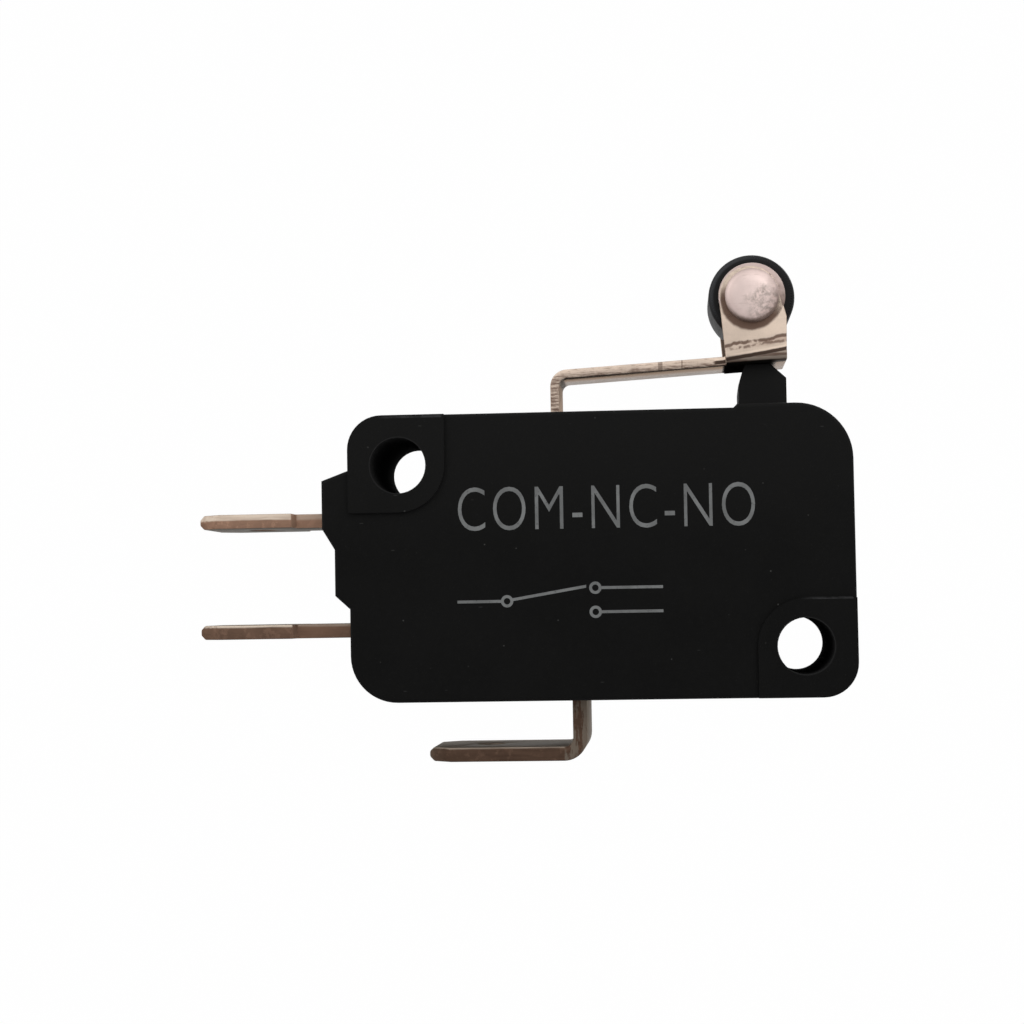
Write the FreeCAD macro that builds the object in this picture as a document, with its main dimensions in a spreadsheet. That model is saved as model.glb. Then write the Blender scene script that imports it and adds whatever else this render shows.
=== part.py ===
import FreeCAD, Part
import Sketcher
import math
import os
import re

# Miniature snap-action switch with a hinge roller lever, changeover contacts and three flat tabs.
# Millimetres. The origin is the centre of the lower mounting hole at the middle of the case's depth.
# +X runs along the case toward the plunger end, +Z from the case to the lever, and the marked face
# looks toward -Y.

Vector = FreeCAD.Vector
Rotation = FreeCAD.Rotation

# How near two lengths or directions are to count as the same, and an edge to the spot that names it
SAME = 1e-3
NEAR = 0.03

doc = FreeCAD.newDocument("LeverMicroSwitch")

# Driving dimensions

SIZES = {
    # Mounting holes, and how far their centres stand in from the case's edges
    "hole_pitch_x": 22.2,
    "hole_pitch_z": 10.3,
    "hole_radius": 1.55,
    "hole_inset": 2.8,
    "boss_wall": 0.8,
    # Case
    "case_depth": 9.9,
    "pad_rise": 0.2,
    "pad_reach": 2.6,
    "wall": 1.2,
    "edge_round": 0.22,
    "corner_top_left": 1.9,
    "corner_top_right": 3.1,
    "corner_low_right": 1.9,
    "corner_low_left": 2.6,
    "land_rise": 0.2,
    "land_ramp": 0.2,
    "post_radius": 1.15,
    "post_inset": 1.75,
    "stake_radius": 0.5,
    "stake_length": 1.6,
    "stake_fit": 0.02,
    # Stepped collar round the two contact tabs, measured from the tabs' levels
    "upper_collar_reach": 1.52,
    "upper_collar_above": 2.65,
    "upper_collar_below": 0.58,
    "lower_collar_reach": 0.82,
    "lower_collar_above": 1.95,
    "shoulder_drop": 0.56,
    "step_drop": 1.16,
    "foot_drop": 0.75,
    # Tabs and the strips that carry the fixed contacts
    "tab_width": 6.35,
    "tab_thick": 0.8,
    "tab_hole_radius": 0.8,
    "tab_hole_setback": 3.3,
    "tab_tip_cut": 1.1,
    "tab_tip_slope": 1.3,
    "tab_bevel": 0.22,
    "blade_length": 5.55,
    "neck_length": 1.93,
    "neck_width": 4.0,
    "nc_level": 7.45,
    "no_level": 1.2,
    "joggle": 0.5,
    "joggle_run": 0.6,
    "strip_past_contact": 1.7,
    # Common terminal: an upright post inside, bent below the case into a tab
    "common_x": 12.45,
    "common_top": 8.3,
    "common_tab_level": 5.8,
    "common_tab_reach": 21.0,
    "common_bend": 0.5,
    "window_half": 1.5,
    "window_low": 2.55,
    "window_top": 6.35,
    "anchor_height": 2.2,
    "anchor_thick": 1.4,
    # Contacts
    "contact_x": 20.3,
    "contact_radius": 1.35,
    "contact_height": 0.8,
    "contact_crown": 0.12,
    "contact_gap": 1.0,
    "closed_gap": 0.03,
    "rivet_radius": 0.75,
    "rivet_head_radius": 1.05,
    "rivet_head_height": 0.3,
    # Contact arm and trip lever: stamped frames that rock in grooves of the post
    "arm_thick": 0.3,
    "rail_inner": 1.45,
    "rail_outer": 2.55,
    "rocker_fit": 0.03,
    "spring_bar": 4.05,
    "bar_width": 0.4,
    "shoulder_start": 1.1,
    "shoulder_end": 1.9,
    "hook_hole_length": 0.75,
    "hook_hole_width": 0.7,
    "trip_pivot_rise": 0.68,
    "trip_hook_x": 5.4,
    "trip_hook_level": 5.2,
    "trip_tail": 1.2,
    # Toggle spring
    "wire_radius": 0.17,
    "coil_radius": 0.88,
    "coil_turns": 6,
    "hook_length": 1.35,
    "hook_radius": 0.45,
    "hook_play": 0.07,
    # Plunger
    "plunger_x": 1.925,
    "plunger_width": 2.67,
    "plunger_depth": 3.8,
    "plunger_fit": 0.05,
    "tip_left": 0.93,
    "tip_right": 0.47,
    "tip_shoulder": 0.8,
    "tip_flank": 1.45,
    "flank_inset": 0.12,
    "flank_drop": 0.7,
    "flange_depth": 6.0,
    "flange_height": 1.3,
    "foot_radius": 0.6,
    "touch_gap": 0.03,
    # How far a cut runs on past the solid's own faces
    "overcut": 1.0,
    # Lever: one folded strip with a leg, a sloping arm and two ears
    "lever_thick": 0.5,
    "lever_width": 4.0,
    "lever_bend": 0.45,
    "leg_x": 13.6,
    "arm_level": 15.2,
    "arm_slope": 3.2,
    "lever_pivot_level": 12.3,
    "lug_radius": 0.3,
    "lug_span": 5.6,
    "leg_slot_back": 0.06,
    "leg_slot_front": 0.2,
    "hinge_wall": 0.6,
    "ear_foot": 1.5,
    "ear_heel": 1.9,
    "ear_shoulder_drop": 1.2,
    "ear_top_radius": 1.72,
    "ear_top_shift": 0.13,
    "ear_gap": 2.5,
    "ear_fold": 0.55,
    "ear_root": 0.8,
    # Roller and its pin, with the axis measured from the arm's level above the leg
    "roller_x": 2.45,
    "roller_rise": 4.3,
    "roller_radius": 2.4,
    "roller_width": 4.8,
    "roller_round": 0.3,
    "roller_fit": 0.04,
    "pin_radius": 0.95,
    "pin_head_radius": 1.5,
    "pin_head_height": 0.6,
    "pin_head_bevel": 0.25,
    "pin_peen_radius": 1.2,
    "pin_peen_height": 0.4,
    "pin_peen_bevel": 0.2,
}

sheet = doc.addObject("Spreadsheet::Sheet", "Sizes")
for row, (alias, number) in enumerate(SIZES.items(), start=1):
    sheet.set(f"A{row}", alias)
    sheet.set(f"B{row}", str(number))
    sheet.setAlias(f"B{row}", alias)
doc.recompute()

# Places and sizes that follow from the driving ones

LAYOUT = {
    "case_left": "-(hole_pitch_x + hole_inset)",
    "case_right": "hole_inset",
    "case_low": "-hole_inset",
    "case_top": "hole_pitch_z + hole_inset",
    "land_top": "case_top + land_rise",
    "land_left": "-(plunger_x + plunger_width / 2 + land_ramp)",
    "face_y": "case_depth / 2",
    "pad_y": "face_y + pad_rise",
    "split_y": "face_y - wall",
    "cavity_left": "case_left + wall",
    "cavity_right": "case_right - wall",
    "cavity_low": "case_low + wall",
    "cavity_top": "case_top - wall",
    "boss_radius": "hole_radius + boss_wall",
    "tab_half": "tab_width / 2",
    "neck_half": "neck_width / 2",
    "blade_root": "case_left - upper_collar_reach - neck_length",
    "tab_tip": "blade_root - blade_length",
    "half_thick": "tab_thick / 2",
    "nc_inner": "nc_level - joggle",
    "no_inner": "no_level + joggle",
    "nc_seat": "nc_inner - half_thick",
    "no_seat": "no_inner + half_thick",
    "joggle_out": "cavity_left + half_thick",
    "joggle_in": "joggle_out + joggle_run",
    "strip_end": "-contact_x + strip_past_contact",
    "common_left": "-common_x - half_thick",
    "common_right": "-common_x + half_thick",
    "pivot_z": "(nc_seat + no_seat) / 2",
    "arm_reach": "contact_x + common_left",
    "moving_height": "(nc_seat - no_seat - 2 * contact_height - contact_gap) / 2",
    "arm_tilt": "asin((contact_gap / 2 - closed_gap) / arm_reach)",
    "groove_radius": "arm_thick / 2 + rocker_fit",
    "trip_z": "pivot_z + trip_pivot_rise",
    "trip_reach": "-common_right - trip_hook_x",
    "trip_tilt": "atan((trip_hook_level - trip_z) / trip_reach)",
    "trip_push": "-common_right - plunger_x",
    "spring_left_x": "common_left - spring_bar * cos(arm_tilt)",
    "spring_left_z": "pivot_z + spring_bar * sin(arm_tilt)",
    "spring_span": "sqrt(pow(-trip_hook_x - spring_left_x; 2) + pow(trip_hook_level - spring_left_z; 2))",
    "spring_tilt": "atan((trip_hook_level - spring_left_z) / (-trip_hook_x - spring_left_x))",
    "coil_length": "spring_span - 2 * hook_length",
    "plunger_left": "-plunger_x - plunger_width / 2",
    "plunger_right": "-plunger_x + plunger_width / 2",
    "arm_rise": "tan(arm_slope)",
    "tip_z": "arm_level + (leg_x - plunger_x - tip_left) * arm_rise - touch_gap",
    "flange_top": "cavity_top - touch_gap",
    "foot_z": "trip_z + trip_push * tan(trip_tilt) + arm_thick / 2 / cos(trip_tilt) + touch_gap",
    "seat_radius": "lug_radius + touch_gap",
    "leg_left": "-leg_x - lever_thick / 2",
    "leg_right": "-leg_x + lever_thick / 2",
    "ear_left": "-roller_x - ear_foot",
    "ear_right": "-roller_x + ear_heel",
    "ear_top_x": "-roller_x - ear_top_shift",
    "ear_outer": "ear_gap + lever_thick",
    "roller_level": "arm_level + roller_rise",
    "underside_ear_left": "arm_level + (leg_x + ear_left) * arm_rise",
    "underside_ear_right": "arm_level + (leg_x + ear_right) * arm_rise",
}

layout = doc.addObject("App::VarSet", "Layout")


def bound(expression):
    """The expression with each named value replaced by the cell or property that holds it."""
    def home(word):
        name = word.group()
        if name in SIZES:
            return "Sizes." + name
        return "Layout." + name if name in LAYOUT else name
    return re.sub(r"[a-z][a-z_]*", home, str(expression))


for name, rule in LAYOUT.items():
    layout.addProperty("App::PropertyFloat", name, "Places")
    layout.setExpression(name, bound(rule))
doc.recompute()


def value(expression):
    """The present number of an expression in named values."""
    result = layout.evalExpression(bound(expression))
    return float(getattr(result, "Value", result))


# Drawing and feature helpers

def new_body(label, x="0", y="0", z="0", tilt="0"):
    """A body whose own frame is placed at a point and turned about Y."""
    body = doc.addObject("PartDesign::Body", label)
    body.Label = label
    body.Placement = FreeCAD.Placement(Vector(), Rotation(Vector(0, 1, 0), 1))
    for axis, place in zip("xyz", (x, y, z)):
        body.setExpression(f"Placement.Base.{axis}", bound(place))
    body.setExpression("Placement.Rotation.Angle", bound(tilt))
    return body


def origin_plane(body, role):
    return next(item for item in body.Origin.OriginFeatures if item.Role == role)


def fix(sketch, kind, geometry, point, expression):
    """One driving distance from the sketch's origin, or a radius, held by an expression."""
    number = value(expression)
    if kind == "Radius":
        index = sketch.addConstraint(Sketcher.Constraint("Radius", geometry, number))
    else:
        index = sketch.addConstraint(Sketcher.Constraint(kind, -1, 1, geometry, point, number))
    sketch.setExpression(f"Constraints[{index}]", bound(expression))


def draw_circle(sketch, across, up, radius):
    centre = Vector(value(across), value(up), 0)
    index = sketch.addGeometry(Part.Circle(centre, Vector(0, 0, 1), value(radius)))
    fix(sketch, "DistanceX", index, 3, across)
    fix(sketch, "DistanceY", index, 3, up)
    fix(sketch, "Radius", index, 0, radius)


def draw_outline(sketch, points):
    """A closed outline through points given as pairs of expressions.

    A point may carry a third entry, three expressions: the side that ends there is then an arc
    through the middle point that the first two give, with the third as its radius.
    """
    spots = [Vector(value(point[0]), value(point[1]), 0) for point in points]
    sides = []
    for number, spot in enumerate(spots):
        start = spots[number - 1]
        if len(points[number]) == 3:
            middle = Vector(value(points[number][2][0]), value(points[number][2][1]), 0)
            arc = Part.Arc(start, middle, spot)
            turns_left = (middle - start).cross(spot - start).z > 0
            sides.append((sketch.addGeometry(arc), 1 if turns_left else 2, 2 if turns_left else 1))
        else:
            sides.append((sketch.addGeometry(Part.LineSegment(start, spot)), 1, 2))
    for number, (index, first, last) in enumerate(sides):
        before, _, before_last = sides[number - 1]
        sketch.addConstraint(Sketcher.Constraint("Coincident", before, before_last, index, first))
        fix(sketch, "DistanceX", index, last, points[number][0])
        fix(sketch, "DistanceY", index, last, points[number][1])
        if len(points[number]) == 3:
            radius = sketch.Geometry[index].Radius
            place = sketch.addConstraint(Sketcher.Constraint("Radius", index, radius))
            sketch.setExpression(f"Constraints[{place}]", bound(points[number][2][2]))


def draw_wire_section(sketch, across, up):
    """The spring wire's section, drawn with six sides to keep the coil's facets few."""
    turns = [math.radians(turn) for turn in range(0, 360, 60)]
    draw_outline(sketch, [(f"{across} + wire_radius * {right:.4f}", f"{up} + wire_radius * {rise:.4f}")
                          for right, rise in ((math.cos(turn), math.sin(turn)) for turn in turns)])


def draw_box(sketch, left, low, right, top):
    draw_outline(sketch, [(left, low), (right, low), (right, top), (left, top)])


def new_sketch(body, name, role, level):
    """A sketch parallel to an origin plane, at a level along that plane's own axis."""
    sketch = body.newObject("Sketcher::SketchObject", name)
    sketch.AttachmentSupport = (origin_plane(body, role), [""])
    sketch.MapMode = "FlatFace"
    sign = "-" if role == "XZ_Plane" else ""
    sketch.setExpression("AttachmentOffset.Base.z", bound(f"{sign}({level})"))
    return sketch


def extrude(body, name, role, low, high, draw, cut=False):
    """Pad or pocket what a drawing function draws, between two levels along the plane's axis."""
    base = high if role == "XZ_Plane" else low
    sketch = new_sketch(body, name + "_sketch", role, base)
    draw(sketch)
    before = body.Shape.Volume if body.Tip else 0.0
    feature = body.newObject("PartDesign::Pocket" if cut else "PartDesign::Pad", name)
    feature.Profile = sketch
    feature.Reversed = cut
    feature.setExpression("Length", bound(f"({high}) - ({low})"))
    doc.recompute()
    change = body.Shape.Volume - before
    if (change >= 0) if cut else (change <= 0):
        raise RuntimeError(f"{body.Label}: {name} changed the volume by {change:.4f}")
    return feature


def revolve(body, name, role, points):
    """A solid of revolution about the vertical axis of the sketch plane."""
    sketch = new_sketch(body, name + "_sketch", role, "0")
    draw_outline(sketch, points)
    feature = body.newObject("PartDesign::Revolution", name)
    feature.Profile = sketch
    feature.ReferenceAxis = (sketch, ["V_Axis"])
    feature.Angle = 360
    doc.recompute()
    return feature


def edges_at(body, axis, spots, reach=NEAR):
    """Names of the edges along an axis whose middles lie over the given spots."""
    others = [name for name in "xyz" if name != axis]
    shape = body.Tip.Shape
    names = []
    for number, edge in enumerate(shape.Edges, start=1):
        if edge.Curve.TypeId != "Part::GeomLine":
            continue
        if abs(getattr(edge.tangentAt(edge.FirstParameter), axis)) < 1 - SAME:
            continue
        middle = edge.CenterOfMass
        place = [getattr(middle, name) for name in others]
        if any(math.dist(place, [value(part) for part in spot]) < reach for spot in spots):
            names.append(f"Edge{number}")
    return names


def dress(body, kind, name, size, edges):
    """A fillet or a chamfer of one size on named edges of the body's last feature."""
    if not edges:
        raise RuntimeError(f"{body.Label}: {name} found no edges")
    feature = body.newObject("PartDesign::" + kind, name)
    feature.Base = (body.Group[-2] if body.Tip is feature else body.Tip, edges)
    feature.setExpression("Radius" if kind == "Fillet" else "Size", bound(size))
    doc.recompute()
    return feature


def rim_edges(body, level, clear_of=()):
    """Names of the edges that lie in the plane at one y level, less those near given spots."""
    names = []
    y = value(level)
    for number, edge in enumerate(body.Tip.Shape.Edges, start=1):
        box = edge.BoundBox
        if abs(box.YMin - y) > SAME or abs(box.YMax - y) > SAME:
            continue
        centre = (box.XMin + box.XMax) / 2, (box.ZMin + box.ZMax) / 2
        if any(math.dist(centre, (value(x), value(z))) < value(away) for x, z, away in clear_of):
            continue
        names.append(f"Edge{number}")
    return names


HOLES = (("0", "0"), ("-hole_pitch_x", "hole_pitch_z"))

# Stakes of the cover stand in the two corners that hold no mounting hole
STAKES = (("case_right - post_inset", "case_top - post_inset"),
          ("case_left + post_inset", "case_low + post_inset"))


def draw_case_outline(sketch):
    """Box with a low land round the plunger and a stepped collar on the tab side."""
    draw_outline(sketch, [
        ("case_left", "case_low"),
        ("case_right", "case_low"),
        ("case_right", "land_top"),
        ("land_left", "land_top"),
        ("land_left - land_ramp", "case_top"),
        ("case_left", "case_top"),
        ("case_left", "nc_level + upper_collar_above"),
        ("case_left - upper_collar_reach", "nc_level + upper_collar_above - shoulder_drop"),
        ("case_left - upper_collar_reach", "nc_level - upper_collar_below"),
        ("case_left - lower_collar_reach", "nc_level - upper_collar_below - step_drop"),
        ("case_left - lower_collar_reach", "no_level + lower_collar_above"),
        ("case_left", "no_level + lower_collar_above - foot_drop")])


def round_corners(body):
    """The four corners of the outline, each with its own radius."""
    for name, size, x, z in (
            ("corner_a", "corner_low_left", "case_left", "case_low"),
            ("corner_b", "corner_low_right", "case_right", "case_low"),
            ("corner_c", "corner_top_right", "case_right", "land_top"),
            ("corner_d", "corner_top_left", "case_left", "case_top")):
        dress(body, "Fillet", name, size, edges_at(body, "y", [(x, z)]))


def add_pads(body, low, high):
    """Raised seats round the mounting holes: square at the case's corner, round inside."""
    def upper(sketch):
        draw_outline(sketch, [
            ("case_left + corner_top_left", "case_top"),
            ("case_left", "case_top - corner_top_left",
             ("case_left + corner_top_left * (1 - sqrt(0.5))",
              "case_top - corner_top_left * (1 - sqrt(0.5))", "corner_top_left")),
            ("case_left", "hole_pitch_z - pad_reach"),
            ("-hole_pitch_x", "hole_pitch_z - pad_reach"),
            ("pad_reach - hole_pitch_x", "hole_pitch_z",
             ("pad_reach * sqrt(0.5) - hole_pitch_x",
              "hole_pitch_z - pad_reach * sqrt(0.5)", "pad_reach")),
            ("pad_reach - hole_pitch_x", "case_top")])

    def lower(sketch):
        draw_outline(sketch, [
            ("-pad_reach", "case_low"),
            ("case_right - corner_low_right", "case_low"),
            ("case_right", "case_low + corner_low_right",
             ("case_right - corner_low_right * (1 - sqrt(0.5))",
              "case_low + corner_low_right * (1 - sqrt(0.5))", "corner_low_right")),
            ("case_right", "pad_reach"),
            ("0", "pad_reach"),
            ("-pad_reach", "0", ("-pad_reach * sqrt(0.5)", "pad_reach * sqrt(0.5)", "pad_reach"))])

    extrude(body, "upper_pad", "XZ_Plane", low, high, upper)
    extrude(body, "lower_pad", "XZ_Plane", low, high, lower)


def mounting_holes(body, low, high):
    def draw(sketch):
        for x, z in HOLES:
            draw_circle(sketch, x, z, "hole_radius")
    extrude(body, "mounting_holes", "XZ_Plane", low, high, draw, cut=True)


# Case: a tray that is open to the rear, with the hole bosses, stake posts and seats of the works

def make_case():
    body = new_body("case")
    extrude(body, "block", "XZ_Plane", "-face_y", "split_y", draw_case_outline)
    round_corners(body)
    dress(body, "Fillet", "face_round", "edge_round", rim_edges(body, "-face_y"))
    extrude(body, "cavity", "XZ_Plane", "-split_y", "split_y", lambda sketch: draw_box(
        sketch, "cavity_left", "cavity_low", "cavity_right", "cavity_top"), cut=True)

    def bosses(sketch):
        for x, z in HOLES:
            draw_circle(sketch, x, z, "boss_radius")

    extrude(body, "bosses", "XZ_Plane", "-split_y", "split_y", bosses)
    for number, (x, z) in enumerate(STAKES):
        extrude(body, f"post_{number}", "XZ_Plane", "-split_y", "split_y",
                lambda sketch, x=x, z=z: draw_circle(sketch, x, z, "post_radius"))

    def anchors(sketch):
        for low, high in (("common_left - anchor_thick", "common_left"),
                          ("common_right", "common_right + anchor_thick")):
            draw_box(sketch, low, "case_low + wall / 2", high, "cavity_low + anchor_height")

    extrude(body, "anchors", "XZ_Plane", "-split_y", "split_y", anchors)

    def hinge_block(sketch):
        draw_box(sketch, "-leg_x - seat_radius - hinge_wall",
                 "lever_pivot_level - seat_radius - hinge_wall",
                 "-leg_x + seat_radius + hinge_wall", "cavity_top + wall / 2")

    extrude(body, "hinge_block", "XZ_Plane", "-split_y", "split_y", hinge_block)
    add_pads(body, "-pad_y", "-face_y")
    mounting_holes(body, "-pad_y", "split_y")

    def stake_holes(sketch):
        for x, z in STAKES:
            draw_circle(sketch, x, z, "stake_radius + stake_fit")

    extrude(body, "stake_holes", "XZ_Plane", "split_y - stake_length - wall / 4", "split_y",
            stake_holes, cut=True)

    # Bored seat for the lever's lugs and the slot that its leg leaves by, both open to the cover
    extrude(body, "lug_seat", "XZ_Plane", "-lug_span / 2 - touch_gap", "split_y",
            lambda sketch: draw_circle(sketch, "-leg_x", "lever_pivot_level", "seat_radius"), cut=True)
    extrude(body, "leg_slot", "XZ_Plane", "-lever_width / 2 - touch_gap", "split_y",
            lambda sketch: draw_box(sketch, "leg_left - leg_slot_back", "lever_pivot_level",
                                    "leg_right + leg_slot_front", "land_top"), cut=True)

    extrude(body, "plunger_guide", "XY_Plane", "cavity_top - wall", "land_top + wall",
            lambda sketch: draw_box(
                sketch, "plunger_left - plunger_fit", "-plunger_depth / 2 - plunger_fit",
                "plunger_right + plunger_fit", "plunger_depth / 2 + plunger_fit"), cut=True)

    # Slots for the strips run out to the joint with the cover, so the strips drop in from behind
    def strip_slots(sketch):
        for level in ("nc_level", "no_level"):
            draw_box(sketch, "case_left - upper_collar_reach - wall", f"{level} - half_thick",
                     "cavity_left", f"{level} + half_thick")

    extrude(body, "strip_slots", "XZ_Plane", "-neck_half", "split_y", strip_slots, cut=True)
    extrude(body, "common_slot", "XZ_Plane", "-tab_half", "split_y", lambda sketch: draw_box(
        sketch, "common_left", "case_low - wall", "common_right", "cavity_low"), cut=True)
    return body


# Cover: the rear plate, with stakes for the posts and tongues that close the strips' slots

def make_cover():
    body = new_body("cover")
    extrude(body, "plate", "XZ_Plane", "split_y", "face_y", draw_case_outline)
    round_corners(body)
    dress(body, "Chamfer", "face_bevel", "edge_round", rim_edges(body, "face_y"))
    add_pads(body, "face_y", "pad_y")

    def tongues(sketch):
        draw_box(sketch, "case_left", "no_level - half_thick", "cavity_left", "no_level + half_thick")
        draw_box(sketch, "case_left - upper_collar_reach", "nc_level - half_thick",
                 "cavity_left", "nc_level + half_thick")

    extrude(body, "strip_tongues", "XZ_Plane", "neck_half", "split_y", tongues)
    extrude(body, "common_tongue", "XZ_Plane", "tab_half", "split_y", lambda sketch: draw_box(
        sketch, "common_left", "case_low", "common_right", "cavity_low"))

    extrude(body, "hinge_tongue", "XZ_Plane", "lever_width / 2 + touch_gap", "split_y",
            lambda sketch: draw_box(sketch, "leg_left - leg_slot_back",
                                    "lever_pivot_level + seat_radius",
                                    "leg_right + leg_slot_front", "case_top"))

    def stakes(sketch):
        for x, z in STAKES:
            draw_circle(sketch, x, z, "stake_radius")

    extrude(body, "stakes", "XZ_Plane", "split_y - stake_length", "split_y", stakes)
    mounting_holes(body, "split_y", "pad_y")
    return body


# Flat terminals

def trim_blade(body, tip, neck_from=None, neck_to=None):
    """Taper the tip, bore the detent hole and narrow the neck of a flat tab, seen from above."""
    def corners(sketch):
        for side in ("", "-"):
            draw_outline(sketch, [
                (f"{tip} + tab_tip_slope", f"{side}tab_half"),
                (tip, f"{side}(tab_half - tab_tip_cut)"),
                (f"{tip} - overcut", f"{side}(tab_half - tab_tip_cut)"),
                (f"{tip} - overcut", f"{side}(tab_half + overcut)"),
                (f"{tip} + tab_tip_slope", f"{side}(tab_half + overcut)")])

    extrude(body, "tip_taper", "XY_Plane", "case_left", "-case_left", corners, cut=True)
    extrude(body, "detent_hole", "XY_Plane", "case_left", "-case_left", lambda sketch: draw_circle(
        sketch, f"{tip} + tab_hole_setback", "0", "tab_hole_radius"), cut=True)
    if neck_from is not None:
        def waists(sketch):
            draw_box(sketch, neck_from, "neck_half", neck_to, "tab_half + overcut")
            draw_box(sketch, neck_from, "-tab_half - overcut", neck_to, "-neck_half")
        extrude(body, "neck", "XY_Plane", "case_left", "-case_left", waists, cut=True)


def bevel_tip(body, tip, level):
    """The chamfered lead-in of a tab's tip, above and below."""
    edges = edges_at(body, "y", [(tip, f"{level} + half_thick"), (tip, f"{level} - half_thick")])
    dress(body, "Chamfer", "tip_bevel", "tab_bevel", edges)


def make_contact_terminal(label, level, inner):
    """A strip that runs in through the collar, steps toward its partner and holds a contact."""
    body = new_body(label)
    extrude(body, "strip", "XZ_Plane", "-tab_half", "tab_half", lambda sketch: draw_outline(sketch, [
        ("tab_tip", f"{level} - half_thick"),
        ("joggle_out", f"{level} - half_thick"),
        ("joggle_in", f"{inner} - half_thick"),
        ("strip_end", f"{inner} - half_thick"),
        ("strip_end", f"{inner} + half_thick"),
        ("joggle_in", f"{inner} + half_thick"),
        ("joggle_out", f"{level} + half_thick"),
        ("tab_tip", f"{level} + half_thick")]))
    trim_blade(body, "tab_tip", "blade_root", "strip_end + overcut")
    extrude(body, "contact_hole", "XY_Plane", "0", "case_top", lambda sketch: draw_circle(
        sketch, "-contact_x", "0", "rivet_radius"), cut=True)
    bevel_tip(body, "tab_tip", level)
    return body


def make_common_terminal():
    """A post with a window and two rocker grooves inside, bent into a tab below the case."""
    body = new_body("com_terminal")
    extrude(body, "strip", "XZ_Plane", "-tab_half", "tab_half", lambda sketch: draw_outline(sketch, [
        ("-common_tab_reach", "-common_tab_level - half_thick"),
        ("common_right", "-common_tab_level - half_thick"),
        ("common_right", "common_top"),
        ("common_left", "common_top"),
        ("common_left", "half_thick - common_tab_level"),
        ("-common_tab_reach", "half_thick - common_tab_level")]))
    dress(body, "Fillet", "inner_bend", "common_bend", edges_at(
        body, "y", [("common_left", "half_thick - common_tab_level")]))
    dress(body, "Fillet", "outer_bend", "common_bend + tab_thick", edges_at(
        body, "y", [("common_right", "-common_tab_level - half_thick")]))
    extrude(body, "window", "YZ_Plane", "common_left - overcut", "common_right + overcut",
            lambda sketch: draw_box(sketch, "-window_half", "window_low", "window_half", "window_top"),
            cut=True)

    def grooves(sketch):
        draw_circle(sketch, "common_left", "pivot_z", "groove_radius")
        draw_circle(sketch, "common_right", "trip_z", "groove_radius")

    extrude(body, "rocker_grooves", "XZ_Plane", "-tab_half", "tab_half", grooves, cut=True)
    trim_blade(body, "-common_tab_reach")
    bevel_tip(body, "-common_tab_reach", "-common_tab_level")
    return body


# Rivet contacts

def make_fixed_contact(label, seat, faces_up):
    """A crowned button that is riveted through its strip."""
    side = "1" if faces_up else "-1"
    body = new_body(label, x="-contact_x", z=seat)
    crown = "(contact_height - contact_crown)"
    revolve(body, "rivet", "XZ_Plane", [
        ("0", f"{side} * contact_height"),
        ("0", f"-{side} * (tab_thick + rivet_head_height)"),
        ("rivet_head_radius", f"-{side} * (tab_thick + rivet_head_height / 2)"),
        ("rivet_head_radius", f"-{side} * tab_thick"),
        ("rivet_radius", f"-{side} * tab_thick"),
        ("rivet_radius", "0"),
        ("contact_radius", "0"),
        ("contact_radius", f"{side} * {crown}"),
        ("contact_radius - contact_crown", f"{side} * contact_height")])
    return body


def make_moving_contact():
    """A double button through the contact arm, crowned on both faces."""
    body = new_body("moving_contact", x="common_left - arm_reach * cos(arm_tilt)",
                    z="pivot_z + arm_reach * sin(arm_tilt)", tilt="arm_tilt")
    revolve(body, "rivet", "XZ_Plane", [
        ("0", "moving_height"),
        ("0", "-moving_height"),
        ("contact_radius", "-moving_height + contact_crown"),
        ("contact_radius", "-arm_thick / 2"),
        ("rivet_radius", "-arm_thick / 2"),
        ("rivet_radius", "arm_thick / 2"),
        ("contact_radius", "arm_thick / 2"),
        ("contact_radius", "moving_height - contact_crown")])
    return body


# Rocking frames

def make_rocker(label, x, z, tilt, sign, tip, bar, tail_half):
    """A stamped frame with a round edge at its pivot, a window for the spring and a hook bar.

    The frame is drawn in its own plane from the pivot at the origin toward sign * X.
    """
    body = new_body(label, x=x, z=z, tilt=tilt)
    nose = "rail_outer" if tail_half is None else tail_half
    window_end = f"({bar} - bar_width / 2)"
    extrude(body, "blank", "XY_Plane", "-arm_thick / 2", "arm_thick / 2", lambda sketch: draw_outline(
        sketch, [("0", "-rail_outer"), ("0", "rail_outer"),
                 (f"{sign}({bar} + shoulder_start)", "rail_outer"),
                 (f"{sign}({bar} + shoulder_end)", nose),
                 (f"{sign}({tip})", nose), (f"{sign}({tip})", f"-({nose})"),
                 (f"{sign}({bar} + shoulder_end)", f"-({nose})"),
                 (f"{sign}({bar} + shoulder_start)", "-rail_outer")]))
    extrude(body, "edge_roll", "XZ_Plane", "-rail_outer", "rail_outer", lambda sketch: draw_circle(
        sketch, "0", "0", "arm_thick / 2"))
    extrude(body, "spring_window", "XY_Plane", "-arm_thick", "arm_thick", lambda sketch: draw_box(
        sketch, f"-{sign}overcut", "-rail_inner", f"{sign}{window_end}", "rail_inner"), cut=True)
    extrude(body, "hook_hole", "XY_Plane", "-arm_thick", "arm_thick", lambda sketch: draw_box(
        sketch, f"{sign}({bar} + bar_width / 2)", "-hook_hole_width / 2",
        f"{sign}({bar} + bar_width / 2 + hook_hole_length)", "hook_hole_width / 2"), cut=True)
    return body


def make_contact_arm():
    body = make_rocker("contact_arm", "common_left", "pivot_z", "arm_tilt", "-",
                       "arm_reach + contact_radius", "spring_bar", "contact_radius")
    extrude(body, "contact_hole", "XY_Plane", "-arm_thick", "arm_thick", lambda sketch: draw_circle(
        sketch, "-arm_reach", "0", "rivet_radius"), cut=True)
    return body


def make_trip_lever():
    return make_rocker("trip_lever", "common_right", "trip_z", "-trip_tilt", "",
                       "trip_push + trip_tail", "trip_reach / cos(trip_tilt)", "rail_inner")


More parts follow.
